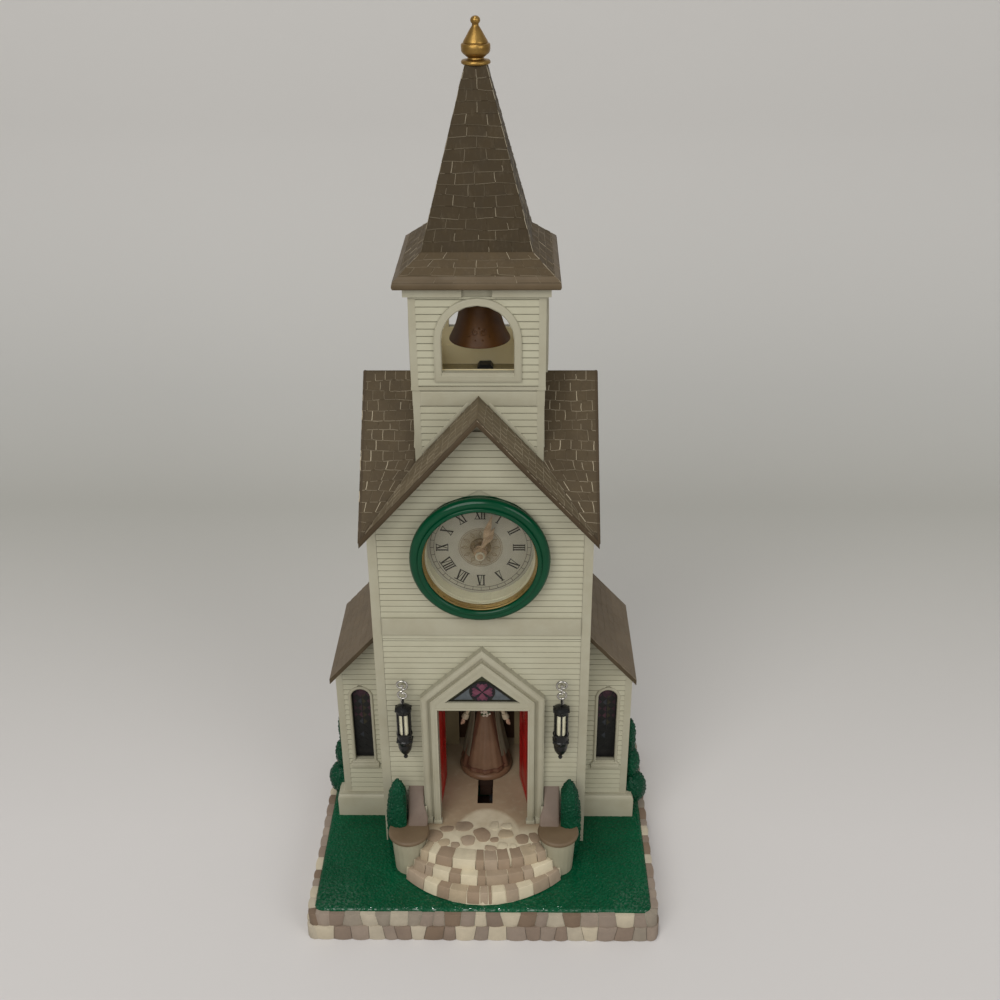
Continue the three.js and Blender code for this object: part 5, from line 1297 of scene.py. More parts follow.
def disc(centre, radius, steps=28):
    return [(centre[0] + radius * sin(2 * pi * k / steps),
             centre[1] + radius * cos(2 * pi * k / steps)) for k in range(steps)]


def toned_bar(shape, layer, colour, *bar):
    """A bar as add_bar lays it, with a tone of its own."""
    before = len(shape.faces)
    add_bar(shape, *bar)
    shape.faces.ensure_lookup_table()
    colour_loops(shape.faces[before:], layer, tone(*colour))


def add_lead(shape, layer, place, start, end, width, proud):
    """A strip of lead between two panes."""
    toned_bar(shape, layer, GLASS_TONES["lead"], place, start, end, width, proud, -2.0)


stained, layer = start_shape()
GLASS_FACE = 3.3
rose = (0.0, 114.2)
add_plate(stained, layer, front, [(-18.0, 108.4), (0, 124.9), (18.0, 108.4)], 0.35, GLASS_FACE + 0.1, "olive")
for side in (-1, 1):
    wing = [(side * 4.6, 109.4), (side * 4.6, 116.8), (side * 7.3, 115.4), (side * 13.4, 109.4)]
    add_plate(stained, layer, front, wing, GLASS_FACE, GLASS_FACE + 0.2, "blue")
    add_lead(stained, layer, front, (side * 3.4, 118.8), (side * 14.9, 108.6), 0.5, GLASS_FACE + 0.45)
    add_lead(stained, layer, front, (side * 5.2, 118.2), (side * 9.3, 114.1), 0.4, GLASS_FACE + 0.45)
add_lead(stained, layer, front, (-17.4, 108.75), (17.4, 108.75), 0.6, GLASS_FACE + 0.5)
add_plate(stained, layer, front, disc(rose, 6.1), GLASS_FACE, GLASS_FACE + 0.5, "lead")
add_plate(stained, layer, front, disc(rose, 5.6), GLASS_FACE, GLASS_FACE + 0.6, "night")
for k in range(8):
    turn = radians(45 * k)
    add_plate(stained, layer, front, petal(rose, turn + 0.39, 2.6, 5.4, 1.15), GLASS_FACE, GLASS_FACE + 0.7,
              "plum")
    if k % 2 == 0:
        add_plate(stained, layer, front, petal(rose, turn, 0.3, 4.9, 1.75), GLASS_FACE, GLASS_FACE + 0.8,
                  "rose")
finish_piece("stained_panel", stained, STAINED, crease=20,
             stands_for=("tympanum_glass",))
print("stained glass:", triangles_made["stained_panel"], "triangles")

# %% [markdown]
# ### Wing windows, sills and the arches of the belfry
# A rounded bead frames each tall dark window, over a sill with a soft nose. The belfry's arches have a
# broader frame with a raised inner edge. The dark panes carry a printed hint of leaded glass: thin
# plates in plum, blue-grey and olive that are only a little lighter than the night behind them.

# %% Windows
DARK_TONES = {"plum": (58, 40, 47), "rose": (70, 47, 54), "blue": (52, 54, 58), "olive": (54, 50, 38),
              "night": (36, 35, 34), "lead": (30, 29, 27)}
GLASS_TONES.update({"dark_" + name: value for name, value in DARK_TONES.items()})
frames = bmesh.new()
for side in (-1, 1):
    x = side * WINDOW_X
    carry_section(frames, facing(0, WING_FRONT), arch_path(x, 6.15, 52.0, 93.3),
                  rounded_section(1.5, 0.2, 1.35, 0.62))
    add_box(frames, facing(0, WING_FRONT), (x - 7.2, x + 7.2), (-1.95, 0.4), (48.2, 51.0))
    add_box(frames, facing(0, WING_FRONT), (x - 6.6, x + 6.6), (-1.5, 0.4), (50.6, 52.6))
round_edges(frames, 0.35, 3, sharp=1.2)
finish_piece("window_frames", frames, TRIM, crease=50)

for side, word in ((-1, "left"), (1, "right")):
    x = side * WINDOW_X
    panes, layer = start_shape()
    pane = facing(0, 14.4)
    add_plate(panes, layer, pane, arch_path(x, 5.15, 53.0, 93.3), -0.9, 0.0, "dark_night")
    for k in range(9):
        z = 56.5 + 4.2 * k
        tint = ("night", "night", "blue", "night", "blue", "rose", "plum", "blue", "plum")[k]
        for lean, name in ((-1, tint), (1, "night" if k < 4 else "olive")):
            leaf = [(x + lean * 0.25, z), (x + lean * 2.1, z + 1.9), (x + lean * 0.25, z + 3.9)]
            add_plate(panes, layer, pane, leaf, 0.0, 0.1, "dark_" + name)
            rim = [(x + lean * 2.4, z + 2.1), (x + lean * 4.1, z + 0.4), (x + lean * 4.1, z + 3.7)]
            add_plate(panes, layer, pane, rim, 0.0, 0.1, "dark_" + ("plum" if k > 4 else "night"))
    add_plate(panes, layer, pane, disc((x, 94.2), 2.6), 0.0, 0.12, "dark_plum")
    add_plate(panes, layer, pane, disc((x, 94.2), 1.1), 0.0, 0.2, "dark_rose")
    finish_piece(f"{word}_leaded_pane", panes, STAINED, crease=20,
                 stands_for=(f"{word}_window_pane",))

arches = bmesh.new()
ARCH_SECTION = [(0, -0.4), (0, 1.45), (0.25, 1.75), (0.7, 1.9), (1.9, 1.9), (2.3, 2.0), (2.8, 2.1),
                (3.1, 1.85), (3.2, 1.5), (3.2, -0.4)]
for quarter in range(4):
    wall = facing(quarter, BELFRY_WALL)
    outline = arch_path(0, 18.15, 266.05, 284.3, steps=28)
    carry_section(arches, wall, outline, ARCH_SECTION, closed=True)
finish_piece("belfry_arches", arches, TRIM, crease=50)
print("mouldings:", {name: triangles_made[name] for name in ("surround_mouldings", "window_frames",
                                                             "belfry_arches")})

# %% [markdown]
# ### Roof edges and tower trim
# The roofs end in plain moulded edges. A rounded roll closes the spire's eave, dark rake boards with
# soft edges follow the gables, and a flat band with rounded edges goes round the tower above the roof.

# %% Roof edges
UPRIGHT = Matrix.Rotation(radians(-90), 4, "X")
eave = bmesh.new()
square = [(-33.5, -33.5), (-33.5, 33.5), (33.5, 33.5), (33.5, -33.5)]
carry_section(eave, UPRIGHT, square, [(1.2, 307.2), (0.2, 307.3), (-0.25, 307.8), (-0.4, 308.6),
                                      (-0.3, 309.4), (0.1, 310.5), (1.2, 311.4), (2.2, 312.2),
                                      (2.5, 312.1), (2.6, 311.8)], closed=True)
finish_piece("spire_eave", eave, EAVE, crease=50)

rakes = bmesh.new()
for quarter in range(4):
    along, out = (51.4, 52.4) if quarter % 2 == 0 else (52.4, 51.4)
    rake = [(-along, 202.1), (0, 259.4), (along, 202.1)]
    section = [(1.87, -1.0), (1.87, 0.05), (1.6, 0.3), (0.3, 0.3), (-0.05, 0.12), (-0.2, -0.3), (-0.2, -1.0)]
    carry_section(rakes, facing(quarter, out), rake, section)
finish_piece("roof_edges", rakes, RAKE, crease=50)

band = bmesh.new()
for quarter in range(4):
    add_box(band, facing(quarter, TOWER_WALL), (-24.6, 24.6), (-1.0, 0.2), (254.9, 261.3))
add_box(band, facing(0, CASE_WALL), (-45.3, 45.3), (-1.85, 0.2), (144.9, 153.9))
round_edges(band, 0.35, 3, sharp=1.3)
PLINTH = [(-0.2, 17.2), (-0.2, 28.6), (-0.05, 29.5), (0.5, 30.4), (1.2, 31.1), (2.2, 31.6), (3.4, 31.9),
          (3.4, 17.2)]
for side in (-1, 1):
    xs, ys = sorted((side * 50.2, side * 76.4)), (-19.8, 28.0)
    corners = [(xs[0], ys[0]), (xs[0], ys[1]), (xs[1], ys[1]), (xs[1], ys[0])]
    carry_section(band, UPRIGHT, corners, PLINTH, closed=True)
finish_piece("trim_bands", band, TRIM, crease=35)

# A dark bar in the seam between the lower and the upper case: painted shadow.
SEAM_SHADOW = moulded("joint_shadow", tone(64, 60, 48), tone(54, 50, 40), patch=80, rough=(0.7, 0.8), shine=0.1)
joint = bmesh.new()
add_box(joint, facing(0, CASE_WALL), (-45.6, 45.6), (-0.45, 0.1), (141.75, 142.3))
finish_piece("case_seam_shadow", joint, SEAM_SHADOW)
print("roof edges:", triangles_made["roof_edges"], "bands:", triangles_made["trim_bands"])

# %% [markdown]
# ## The clock
# The green bezel is turned: a fat outer roll, a groove, and a smaller inner roll that drops to the gold
# ring. One section is spun round the clock's axis, which points out of the gable. The gold ring has a
# bead and a step below it, and between them sits the thin clear lens.

# %% Bezel, gold ring and lens
CLOCK = Vector((0, 0, CLOCK_HEIGHT))


def roll(middle_r, middle_y, radius, start, end, steps):
    """Points (r, y) on a round roll; angles in degrees, 0 points outward and 90 to the front."""
    turns = [radians(start + (end - start) * k / steps) for k in range(steps + 1)]
    return [(middle_r + radius * cos(t), middle_y - radius * sin(t)) for t in turns]


def turn_ring(shape, section, steps=96):
    """Spins a closed section of (r, y) round the clock's axis."""
    line = [shape.verts.new((r, 0, y)) for r, y in section]
    spin_round(shape, line, [shape.edges.new((line[k - 1], line[k])) for k in range(len(line))], steps)
    shape.transform(Matrix.Translation(CLOCK) @ Matrix.Rotation(radians(-90), 4, "X"))


bezel = bmesh.new()
section = ([(29.1, -37.0)] + roll(28.5, -43.1, 2.5, -72, 118, 16) + roll(26.4, -45.0, 1.25, 55, 185, 12)
           + [(25.7, -44.0), (25.75, -38.95), (28.2, -38.95), (28.2, -37.0)])
turn_ring(bezel, section)
finish_piece("bezel_rolls", bezel, GREEN, stands_for=("clock_bezel",), crease=40)

ring = bmesh.new()
turn_ring(ring, roll(25.15, -43.9, 0.35, 20, 170, 6) + [(24.85, -43.0), (24.8, -42.8)]
          + roll(24.75, -42.4, 0.3, 60, 220, 6) + [(24.6, -41.9)] + roll(24.6, -41.4, 0.3, 60, 220, 6)
          + [(24.35, -40.6), (25.58, -40.6)])
finish_piece("gold_rim", ring, RING_GOLD, stands_for=("gold_ring",), crease=40)
# The lip carries the well's lighter ivory, which is painted light.
lip = bmesh.new()
turn_ring(lip, [(24.25, -40.5), (25.5, -40.5), (25.5, -38.7), (24.15, -38.7)])
finish_piece("well_lip", lip, WELL_LIT, crease=40)

LENS = start_finish("clear_lens", tone(250, 250, 248), roughness=0.03)
lens_shader = LENS.node_tree.nodes["Principled BSDF"]
lens_shader.inputs["Transmission Weight"].default_value = 1.0
lens_shader.inputs["IOR"].default_value = 1.12
skin(LENS, noise(LENS, 60, 2), 0.02)
dress(LENS, "clock_lens")
print("bezel:", triangles_made["bezel_rolls"], "triangles")

# %% [markdown]
# ### The dial
# The dial is a pale card with a sepia rosette, Roman numerals and a railway track. Ink has no height
# worth modelling, yet a plate a tenth of a millimetre high keeps the strokes crisp from any side, so
# every stroke is a thin bar. On this dial the lower numerals are turned round, so that they stand upright.

# %% Dial print
PRINT = start_finish("dial_ink", tone(52, 48, 42), roughness=0.6)
feed(PRINT, own_tone(PRINT, ramp(PRINT, noise(PRINT, 900, 3), [(0.35, 0.85), (0.7, 1.2)])), "Base Color")
SEPIA_CARD = moulded("sepia_card", tone(112, 96, 72), tone(92, 78, 56), patch=500, bump=0.05)
NUMERALS = ("XII", "I", "II", "III", "IV", "V", "VI", "VII", "VIII", "IX", "X", "XI")
ADVANCE = {"I": 1.15, "V": 2.5, "X": 2.6}
INK, SEPIA, FAINT = (46, 43, 38), (112, 98, 76), (138, 124, 100)
dial_face = facing(0, 31.9)


def stroke(shape, layer, start, end, width, colour, spin=0.0, lift=0.1):
    """A thin raised stroke between two points of the dial, both (across, up) and turned clockwise."""
    turn = Matrix.Rotation(-spin, 2)
    a, b = (turn @ Vector(point) for point in (start, end))
    toned_bar(shape, layer, colour, dial_face, (a.x, a.y + CLOCK.z), (b.x, b.y + CLOCK.z), width, lift, 0.05)


def numeral(shape, layer, text, hour, foot=14.5, head=19.7):
    spin = radians(30 * hour)
    flip = -1 if 4 <= hour <= 8 else 1
    low, high = (foot, head) if flip > 0 else (head, foot)
    x = -sum(ADVANCE[letter] for letter in text) / 2
    for letter in text:
        wide = ADVANCE[letter]
        left, middle, right = flip * (x + 0.3), flip * (x + wide / 2), flip * (x + wide - 0.3)
        if letter == "I":
            stroke(shape, layer, (middle, low), (middle, high), 0.6, INK, spin)
        elif letter == "V":
            stroke(shape, layer, (left, high), (middle, low), 0.68, INK, spin)
            stroke(shape, layer, (right, high), (middle, low), 0.26, INK, spin)
        else:
            stroke(shape, layer, (left, high), (right, low), 0.68, INK, spin)
            stroke(shape, layer, (right, high), (left, low), 0.26, INK, spin)
        x += wide
    reach = sum(ADVANCE[letter] for letter in text) / 2 + 0.1
    for level in (foot, head):
        narrow = reach * (0.55 if text.endswith("V") and level == low else 1)
        stroke(shape, layer, (-narrow, level), (narrow, level), 0.3, INK, spin)


def circle_line(shape, layer, radius, width, colour, steps=72):
    for k in range(steps):
        half = math.tan(pi / steps) * radius
        stroke(shape, layer, (-half, radius), (half, radius), width, colour, 2 * pi * k / steps, 0.07)


print("strokes for", len(NUMERALS), "numerals ready")

# %% [markdown]
# The numerals stand on a ring inside the railway track, and two thin circles close the rosette of twelve
# petals. A turned boss sits in the middle under the hands.

# %% Numerals, track and rosette
ink_lines, layer = start_shape()
for hour, text in enumerate(NUMERALS):
    numeral(ink_lines, layer, text, hour)
for radius, width in ((22.5, 0.22), (20.8, 0.18)):
    circle_line(ink_lines, layer, radius, width, (70, 66, 56))
for k in range(36):
    stroke(ink_lines, layer, (0, 20.8), (0, 22.5), 0.18, (70, 66, 56), radians(10 * k))
for radius in (9.7, 8.9):
    circle_line(ink_lines, layer, radius, 0.13, SEPIA, 48)
for k in range(12):
    turn = radians(30 * k)
    for lean in (-1, 1):
        stroke(ink_lines, layer, (0, 5.4), (lean * 0.75, 6.9), 0.16, SEPIA, turn)
        stroke(ink_lines, layer, (lean * 0.75, 6.9), (0, 8.5), 0.16, SEPIA, turn)
        stroke(ink_lines, layer, (0, 2.8), (lean * 0.8, 4.2), 0.2, SEPIA, turn + 0.26)
        stroke(ink_lines, layer, (lean * 0.8, 4.2), (0, 5.3), 0.2, FAINT, turn + 0.26)
    stroke(ink_lines, layer, (0, 6.0), (0, 7.8), 0.14, FAINT, turn)
boss = bmesh.new()
turn_ring(boss, [(2.65, -32.85), (3.8, -32.85), (4.5, -32.4), (4.8, -31.8), (2.65, -31.8)], 40)
finish_piece("dial_boss", boss, SEPIA_CARD, crease=30)
finish_piece("dial_print", ink_lines, PRINT, crease=30)

print("dial:", triangles_made["dial_print"], "triangles")

# %% [markdown]
# The card is pale at its rim and sepia in the middle. A round gradient, centred by a Mapping node, makes
# the change from one to the other.

# %% Dial card
DIAL = start_finish("dial_card", tone(152, 148, 134), roughness=0.5, shine=0.2)
flat_place = add_node(DIAL, "ShaderNodeMapping", {"Vector": place_of(DIAL), "Location": (0, 0, -18.78),
                                                  "Scale": (100, 0, 100)})
disc_fade = add_node(DIAL, "ShaderNodeTexGradient", {"Vector": flat_place.outputs["Vector"]},
                     gradient_type="SPHERICAL")
sepia = ramp(DIAL, disc_fade.outputs["Fac"], [(0.0, tone(156, 152, 138)), (0.05, tone(148, 141, 124)),
                                              (0.7, tone(126, 111, 86))])
feed(DIAL, blend_colour(DIAL, 1.0, sepia, ramp(DIAL, noise(DIAL, 240, 4), [(0.3, 0.9), (0.7, 1.0)]),
                        "MULTIPLY"),
     "Base Color")
skin(DIAL, noise(DIAL, 2200, 2), 0.05)
dress(DIAL, "clock_dial")
print("dial card painted")

# %% [markdown]
# ### The hands
# Both hands are pressed brass leaves: a slim stem, a pierced collar near the hub, and a blade with a
# raised rib along its middle. The minute hand's hub carries the pale ring that shows in front.

# %% Hands
def add_blade(shape, degrees, length, half, y, rib=0.22, thickness=0.32):
    """A leaf with a rib, in the clock's face at depth y, turned clockwise from twelve."""
    shares = (0.0, 0.2, 0.34, 0.42, 0.5, 0.62, 0.75, 0.88, 1.0)
    widths = (0.5, 0.42, 0.36, 0.62, 0.9, 1.0, 0.72, 0.36, 0.06)
    turn = Matrix.Rotation(-radians(degrees), 2)
    rows = []
    for share, width in zip(shares, widths):
        row = []
        for across, front in ((-1, thickness / 2), (0, thickness / 2 + rib), (1, thickness / 2),
                              (1, -thickness / 2), (-1, -thickness / 2)):
            spot = turn @ Vector((across * width * half, share * length))
            row.append(shape.verts.new((spot.x, y - front, spot.y + CLOCK.z)))
        rows.append(row)
    join_rows(shape, rows)


def hub_section(outer, inner, front, back):
    return [(inner, front + 0.15), (inner + 0.15, front), (outer - 0.2, front), (outer, front + 0.2),
            (outer, back), (inner, back)]


hour = bmesh.new()
turn_ring(hour, hub_section(3.1, 1.85, -35.75, -35.2), 40)
add_blade(hour, 28, 13.5, 1.75, -35.35)
finish_piece("hour_hand_leaf", hour, HAND_GOLD, "hour_hand", crease=30)

minute = bmesh.new()
turn_ring(minute, [(0.9, -39.85), (1.0, -40.0), (1.4, -40.0), (1.5, -39.8), (1.5, -37.4), (2.6, -37.3),
                   (2.8, -37.1), (2.8, -36.4), (0.9, -36.4)], 40)
add_blade(minute, 16, 19.5, 1.5, -36.55)
finish_piece("minute_hand_leaf", minute, HAND_GOLD, "minute_hand", crease=30)
nut = bmesh.new()
turn_ring(nut, roll(1.75, -39.6, 0.42, 0, 330, 11), 40)
finish_piece("hub_ring", nut, TRIM, "minute_hand", crease=40)
print("clock:", {name: triangles_made[name] for name in ("bezel_rolls", "dial_print", "minute_hand_leaf")})

# %% [markdown]
# ## Sweeping a rod along a line
# Hooks, arms and scrolls are round rods that taper and bend. `sweep_rod` sets a ring of points square to
# the line at each station and carries the ring's frame forward, so the rod does not twist.

# %% Rods
def curve_through(points, steps=6):
    """A Catmull-Rom curve through the points, which may carry further numbers such as a radius."""
    rows = [points[0]] + list(points) + [points[-1]]
    line = []
    for a, b, c, d in zip(rows, rows[1:], rows[2:], rows[3:]):
        for k in range(steps):
            t = k / steps
            line.append(tuple(0.5 * (2 * q + (r - p) * t + (2 * p - 5 * q + 4 * r - s) * t * t
                                     + (3 * q - p - 3 * r + s) * t ** 3) for p, q, r, s in zip(a, b, c, d)))
    return line + [tuple(points[-1])]


def sweep_rod(shape, stations, sides=10, flat=1.0):
    """Stations are (x, y, z, radius); flat squeezes the rod along its own binormal."""
    spots = [Vector(station[:3]) for station in stations]
    normal = None
    rings = []
    for k, station in enumerate(stations):
        along = (spots[min(k + 1, len(spots) - 1)] - spots[max(k - 1, 0)]).normalized()
        if normal is None:
            normal = along.orthogonal().normalized()
        normal = (normal - along * normal.dot(along)).normalized()
        other = along.cross(normal)
        rings.append([shape.verts.new(spots[k] + station[3] * (cos(t) * normal + flat * sin(t) * other))
                      for t in (2 * pi * j / sides for j in range(sides))])
    faces = [shape.faces.new(rings[0][::-1]), shape.faces.new(rings[-1])]
    for near, far in zip(rings, rings[1:]):
        faces += [shape.faces.new((near[j], near[(j + 1) % sides], far[(j + 1) % sides], far[j]))
                  for j in range(sides)]
    bmesh.ops.recalc_face_normals(shape, faces=faces)
    return faces


def add_ball(shape, centre, radii, columns=14, rows=9):
    made = bmesh.ops.create_uvsphere(shape, u_segments=columns, v_segments=rows, radius=1)["verts"]
    bmesh.ops.transform(shape, verts=made, matrix=Matrix.Translation(centre) @ Matrix.Diagonal((*radii, 1)))
    return made


print("rod helpers ready")

# %% [markdown]
# ## Lanterns on their hooks
# Each lantern is a black hexagonal cage with a domed hat, a ball-ended foot and long cream panes, which
# are one six-sided block inside. The hat and the foot are spun; bars stand at the corners. The chrome hook is
# an S of two curled rings, and a smaller hook below it carries the lantern's eye.

# %% Lanterns and hooks
PANE_CREAM = moulded("lantern_pane", tone(222, 218, 190), tone(206, 200, 170), patch=160, rough=(0.3, 0.45))
HAT = [(0, 108.8), (0.8, 108.7), (1.9, 108.3), (2.9, 107.8), (3.4, 107.3), (3.9, 107.0), (4.0, 106.3),
       (3.7, 105.7), (3.4, 105.4), (3.4, 104.7), (0, 104.7)]
FOOT = [(0, 77), (0.8, 77.2), (1.1, 77.9), (0.8, 78.7), (1.0, 79.3), (2.0, 80.6), (2.9, 82.4), (3.3, 84.0),
        (3.45, 85.8), (3.5, 87.2), (3.9, 87.7), (3.95, 88.6), (3.45, 89.1), (3.4, 91.6), (3.9, 92.0),
        (3.7, 92.7), (0, 92.7)]
for side, word in ((-1, "left"), (1, "right")):
    centre = Vector((side * 37.2, -43.9, 0))
    cage = bmesh.new()
    for outline in (HAT, FOOT):
        part = bmesh.new()
        spin_profile(part, outline, centre, 36)
        mesh = bpy.data.meshes.new("part")
        part.to_mesh(mesh)
        cage.from_mesh(mesh)
        part.free()
        bpy.data.meshes.remove(mesh)
    for k in range(6):
        turn = radians(60 * k)
        spot = centre + Vector((3.2 * sin(turn), -3.2 * cos(turn), 0))
        place = Matrix.Translation(spot) @ Matrix.Rotation(turn, 4, "Z")
        add_box(cage, place, (-0.42, 0.42), (-0.4, 0.5), (92, 105.2))
        for z in (106.6, 88.1):
            add_ball(cage, centre + Vector((4.0 * sin(turn), -4.0 * cos(turn), z)), (0.5, 0.5, 0.6), 8, 6)
    sweep_rod(cage, curve_through([(centre.x, centre.y + 1.5 * sin(t), 110.7 + 1.5 * -cos(t), 0.42)
                                   for t in (radians(30 * k) for k in range(13))], 2), 8)
    body = f"{word}_lantern"
    finish_piece(f"{word}_lantern_cage", cage, BLACK, body, stands_for=(body,), crease=40)
    light = bmesh.new()
    bmesh.ops.create_cone(light, cap_ends=True, segments=6, radius1=2.75, radius2=2.75, depth=12.4)
    light.transform(Matrix.Translation(centre + Vector((0, 0, 98.7))) @ Matrix.Rotation(radians(30), 4, "Z"))
    finish_piece(f"{word}_lantern_panes", light, PANE_CREAM, body, crease=20)

    hook = bmesh.new()
    x, y = centre.x, centre.y
    scroll = []
    for middle, big, start, turned in ((120.2, 2.45, -130, 400), (114.8, 2.1, 90, -380)):
        for k in range(17):
            share = k / 16 if turned > 0 else 1 - k / 16
            reach = 0.8 + (big - 0.8) * min(1.0, share * 2.6)
            turn = radians(start + turned * k / 16)
            scroll.append((x + side * reach * cos(turn), y, middle + reach * sin(turn), 0.55))
    sweep_rod(hook, curve_through(scroll, 2), 8)
    sweep_rod(hook, [(x, y, 120.2, 0.5), (x, -37.0, 116.6, 0.7)], 8)
    sweep_rod(hook, [(x, y - 0.7, 120.2, 0.2), (x, y - 0.5, 120.2, 0.7), (x, y + 0.6, 120.2, 0.75)], 10)
    stem = [(x, y, 113.3, 0.36), (x, y + 0.35, 112.2, 0.36), (x + side * 0.9, y + 0.3, 111.0, 0.36),
            (x + side * 0.8, y, 109.9, 0.34), (x, y, 109.5, 0.34), (x - side * 0.5, y, 109.9, 0.3)]
    sweep_rod(hook, curve_through(stem, 4), 8)
    finish_piece(f"{word}_scroll_hook", hook, STEEL, stands_for=(f"{word}_lantern_hook",),
                 crease=50)
print("lantern cage:", triangles_made["left_lantern_cage"], "hook:", triangles_made["left_scroll_hook"])

# %% [markdown]
# ## Bell and finial
# The bell is spun from one outline: a flat crown, a waist and a flared lip, hollow inside. Two small
# curls and a few dots are cast on its front. The finial over the spire is turned wood painted in dull
# gold: a foot ring, a cup, a rounded rim, a bell-shaped dome and a little ball on a neck.

# %% Bell and finial
bell = bmesh.new()
OUTSIDE = [(0, 295.8), (1.8, 295.8), (4.6, 295.2), (6.8, 294.0), (8.0, 292.4), (8.6, 290.2), (9.0, 287.4),
           (9.6, 284.4), (10.4, 281.6), (11.5, 278.8), (12.5, 276.7), (13.2, 275.4), (13.3, 274.8),
           (12.9, 274.6)]
INSIDE = [(12.0, 274.9), (10.2, 278.6), (8.9, 283.4), (8.0, 288.6), (7.2, 291.4), (4.6, 293.2), (0, 293.6)]
spin_profile(bell, OUTSIDE + INSIDE, Vector((0, 0, 0)), 64)


def along_outline(outline, z):
    """Radius of a falling outline at a height."""
    for (r0, z0), (r1, z1) in zip(outline, outline[1:]):
        if z1 <= z <= z0 and z0 > z1:
            return r0 + (r1 - r0) * (z0 - z) / (z0 - z1)
    return outline[-1][0]


def on_bell(x, z, proud=0.1):
    """A point on the bell's front, which leans outward toward the lip."""
    reach = along_outline(OUTSIDE, z)
    return x, -sqrt(max(0.1, reach * reach - x * x)) - proud, z


for lean in (-1, 1):
    spiral = [(*on_bell(lean * (1.7 + r * cos(t)), 281.0 + r * sin(t)), 0.26)
              for t, r in ((radians(40 * k), 0.35 + 0.1 * k) for k in range(12))]
    sweep_rod(bell, curve_through(spiral, 3), 8)
    add_ball(bell, on_bell(lean * 1.6, 278.0), (0.4, 0.35, 0.4), 8, 6)
    add_ball(bell, on_bell(lean * 4.2, 279.4), (0.5, 0.35, 0.35), 8, 6)
add_ball(bell, on_bell(0, 282.8), (0.45, 0.4, 0.6), 8, 6)
sweep_rod(bell, [(0, 0, 295.5, 1.4), (0, 0, 299.0, 1.4)], 12)
sweep_rod(bell, [(-1.4, 0, 300, 2.6), (1.4, 0, 300, 2.6)], 20)
for side in (-1, 1):
    add_box(bell, Matrix.Identity(4), (side * 2.1 - 0.5, side * 2.1 + 0.5), (-1.3, 1.3), (289.3, 293.9))
sweep_rod(bell, [(-2.3, 0, 290.6, 0.6), (2.3, 0, 290.6, 0.6)], 10)
finish_piece("cast_bell", bell, BRONZE, "bell", stands_for=("bell",), crease=45)

finial = bmesh.new()
TURNED = [(0, 387.5), (5.1, 387.5), (5.7, 387.9), (5.8, 388.5), (5.4, 389.1), (4.2, 389.3), (3.3, 389.6),
          (3.15, 390.0), (4.2, 390.8), (5.2, 391.6), (5.65, 392.4), (5.75, 393.6), (5.7, 394.8), (5.4, 395.2),
          (4.75, 395.3), (4.85, 395.7), (4.65, 396.2), (3.9, 397.4), (3.2, 398.6), (2.5, 399.8),
          (1.85, 400.8), (1.4, 401.5), (1.25, 402.0)]
TURNED += [(1.95 * sin(t), 403.5 - 1.65 * cos(t)) for t in (radians(a) for a in range(45, 180, 15))]
TURNED += [(0, 405.15)]
spin_profile(finial, TURNED, Vector((0, 0, 0)), 56)
finish_piece("turned_finial", finial, GOLD, stands_for=("finial",), crease=50)
print("bell:", triangles_made["cast_bell"], "finial:", triangles_made["turned_finial"])

# %% [markdown]
# ## Coping of the cheek walls
# The coping comes down from the wall in a smooth curve and ends in a round flat paddle over the
# pedestal. The curve is a strip swept in small steps with rounded edges. The paddle is a darker brown;
# the slope carries a lighter copy of that brown, which is painted light.

# %% Coping
def coping_line(share):
    start, middle, end = Vector((-37.3, 54.5)), Vector((-44.5, 41.5)), Vector((-52.5, 40.0))
    return (1 - share) ** 2 * start + 2 * share * (1 - share) * middle + share ** 2 * end


for side, word in ((-1, "left"), (1, "right")):
    slope = bmesh.new()
    section = [(0, -2.0), (0, -0.5), (0.15, -0.15), (0.5, 0.05), (1.2, 0.12)]
    rows = []
    for k in range(21):
        y, z = coping_line(k / 20)
        inner = 27.6 + 2.2 * min(1.0, max(0.0, (y + 47.0) / 4.6))
        outer = 37.2
        edge = [(inner + u, v) for u, v in section] + [(outer - u, v) for u, v in reversed(section)]
        rows.append([slope.verts.new((side * x, y, z + v)) for x, v in edge])
    join_rows(slope, rows)
    finish_piece(f"{word}_coping_slope", slope, COPING_LIT, crease=40,
                 stands_for=(f"{word}_wall_cap",))
    paddle = bmesh.new()
    rim = [(0, 38.0), (9.3, 38.0), (9.9, 38.4), (10.05, 39.0), (9.95, 39.6), (9.6, 40.1), (9.0, 40.3),
           (0, 40.3)]
    spin_profile(paddle, rim, Vector((side * 36.5, -54, 0)), 56)
    finish_piece(f"{word}_coping_paddle", paddle, PADDLE, crease=40,
                 stands_for=(f"{word}_wall_cap",))
print("coping made")

# %% [markdown]
# ## The red doors
# Each door leaf is a plank with two raised and fielded panels on the face that turns outward when it
# is shut. The leaf is drawn shut, hinged on the z axis, then turned to its resting angle and set on its
# hinge line, as the CAD does it.

# %% Doors
def framed_panel(shape, place, xs, zs, face):
    """A fielded panel: a raised flat with sloping edges, on the leaf's front at -y."""
    made = add_box(shape, place, xs, (face - 0.14, face + 0.2), zs)
    front_corners = [v for v in made if (place.inverted() @ v.co).y < face]
    middle = Vector(((xs[0] + xs[1]) / 2, 0, (zs[0] + zs[1]) / 2))
    for corner in front_corners:
        local = place.inverted() @ corner.co
        local.x += math.copysign(1.1, middle.x - local.x)
        local.z += math.copysign(1.1, middle.z - local.z)
        corner.co = place @ local


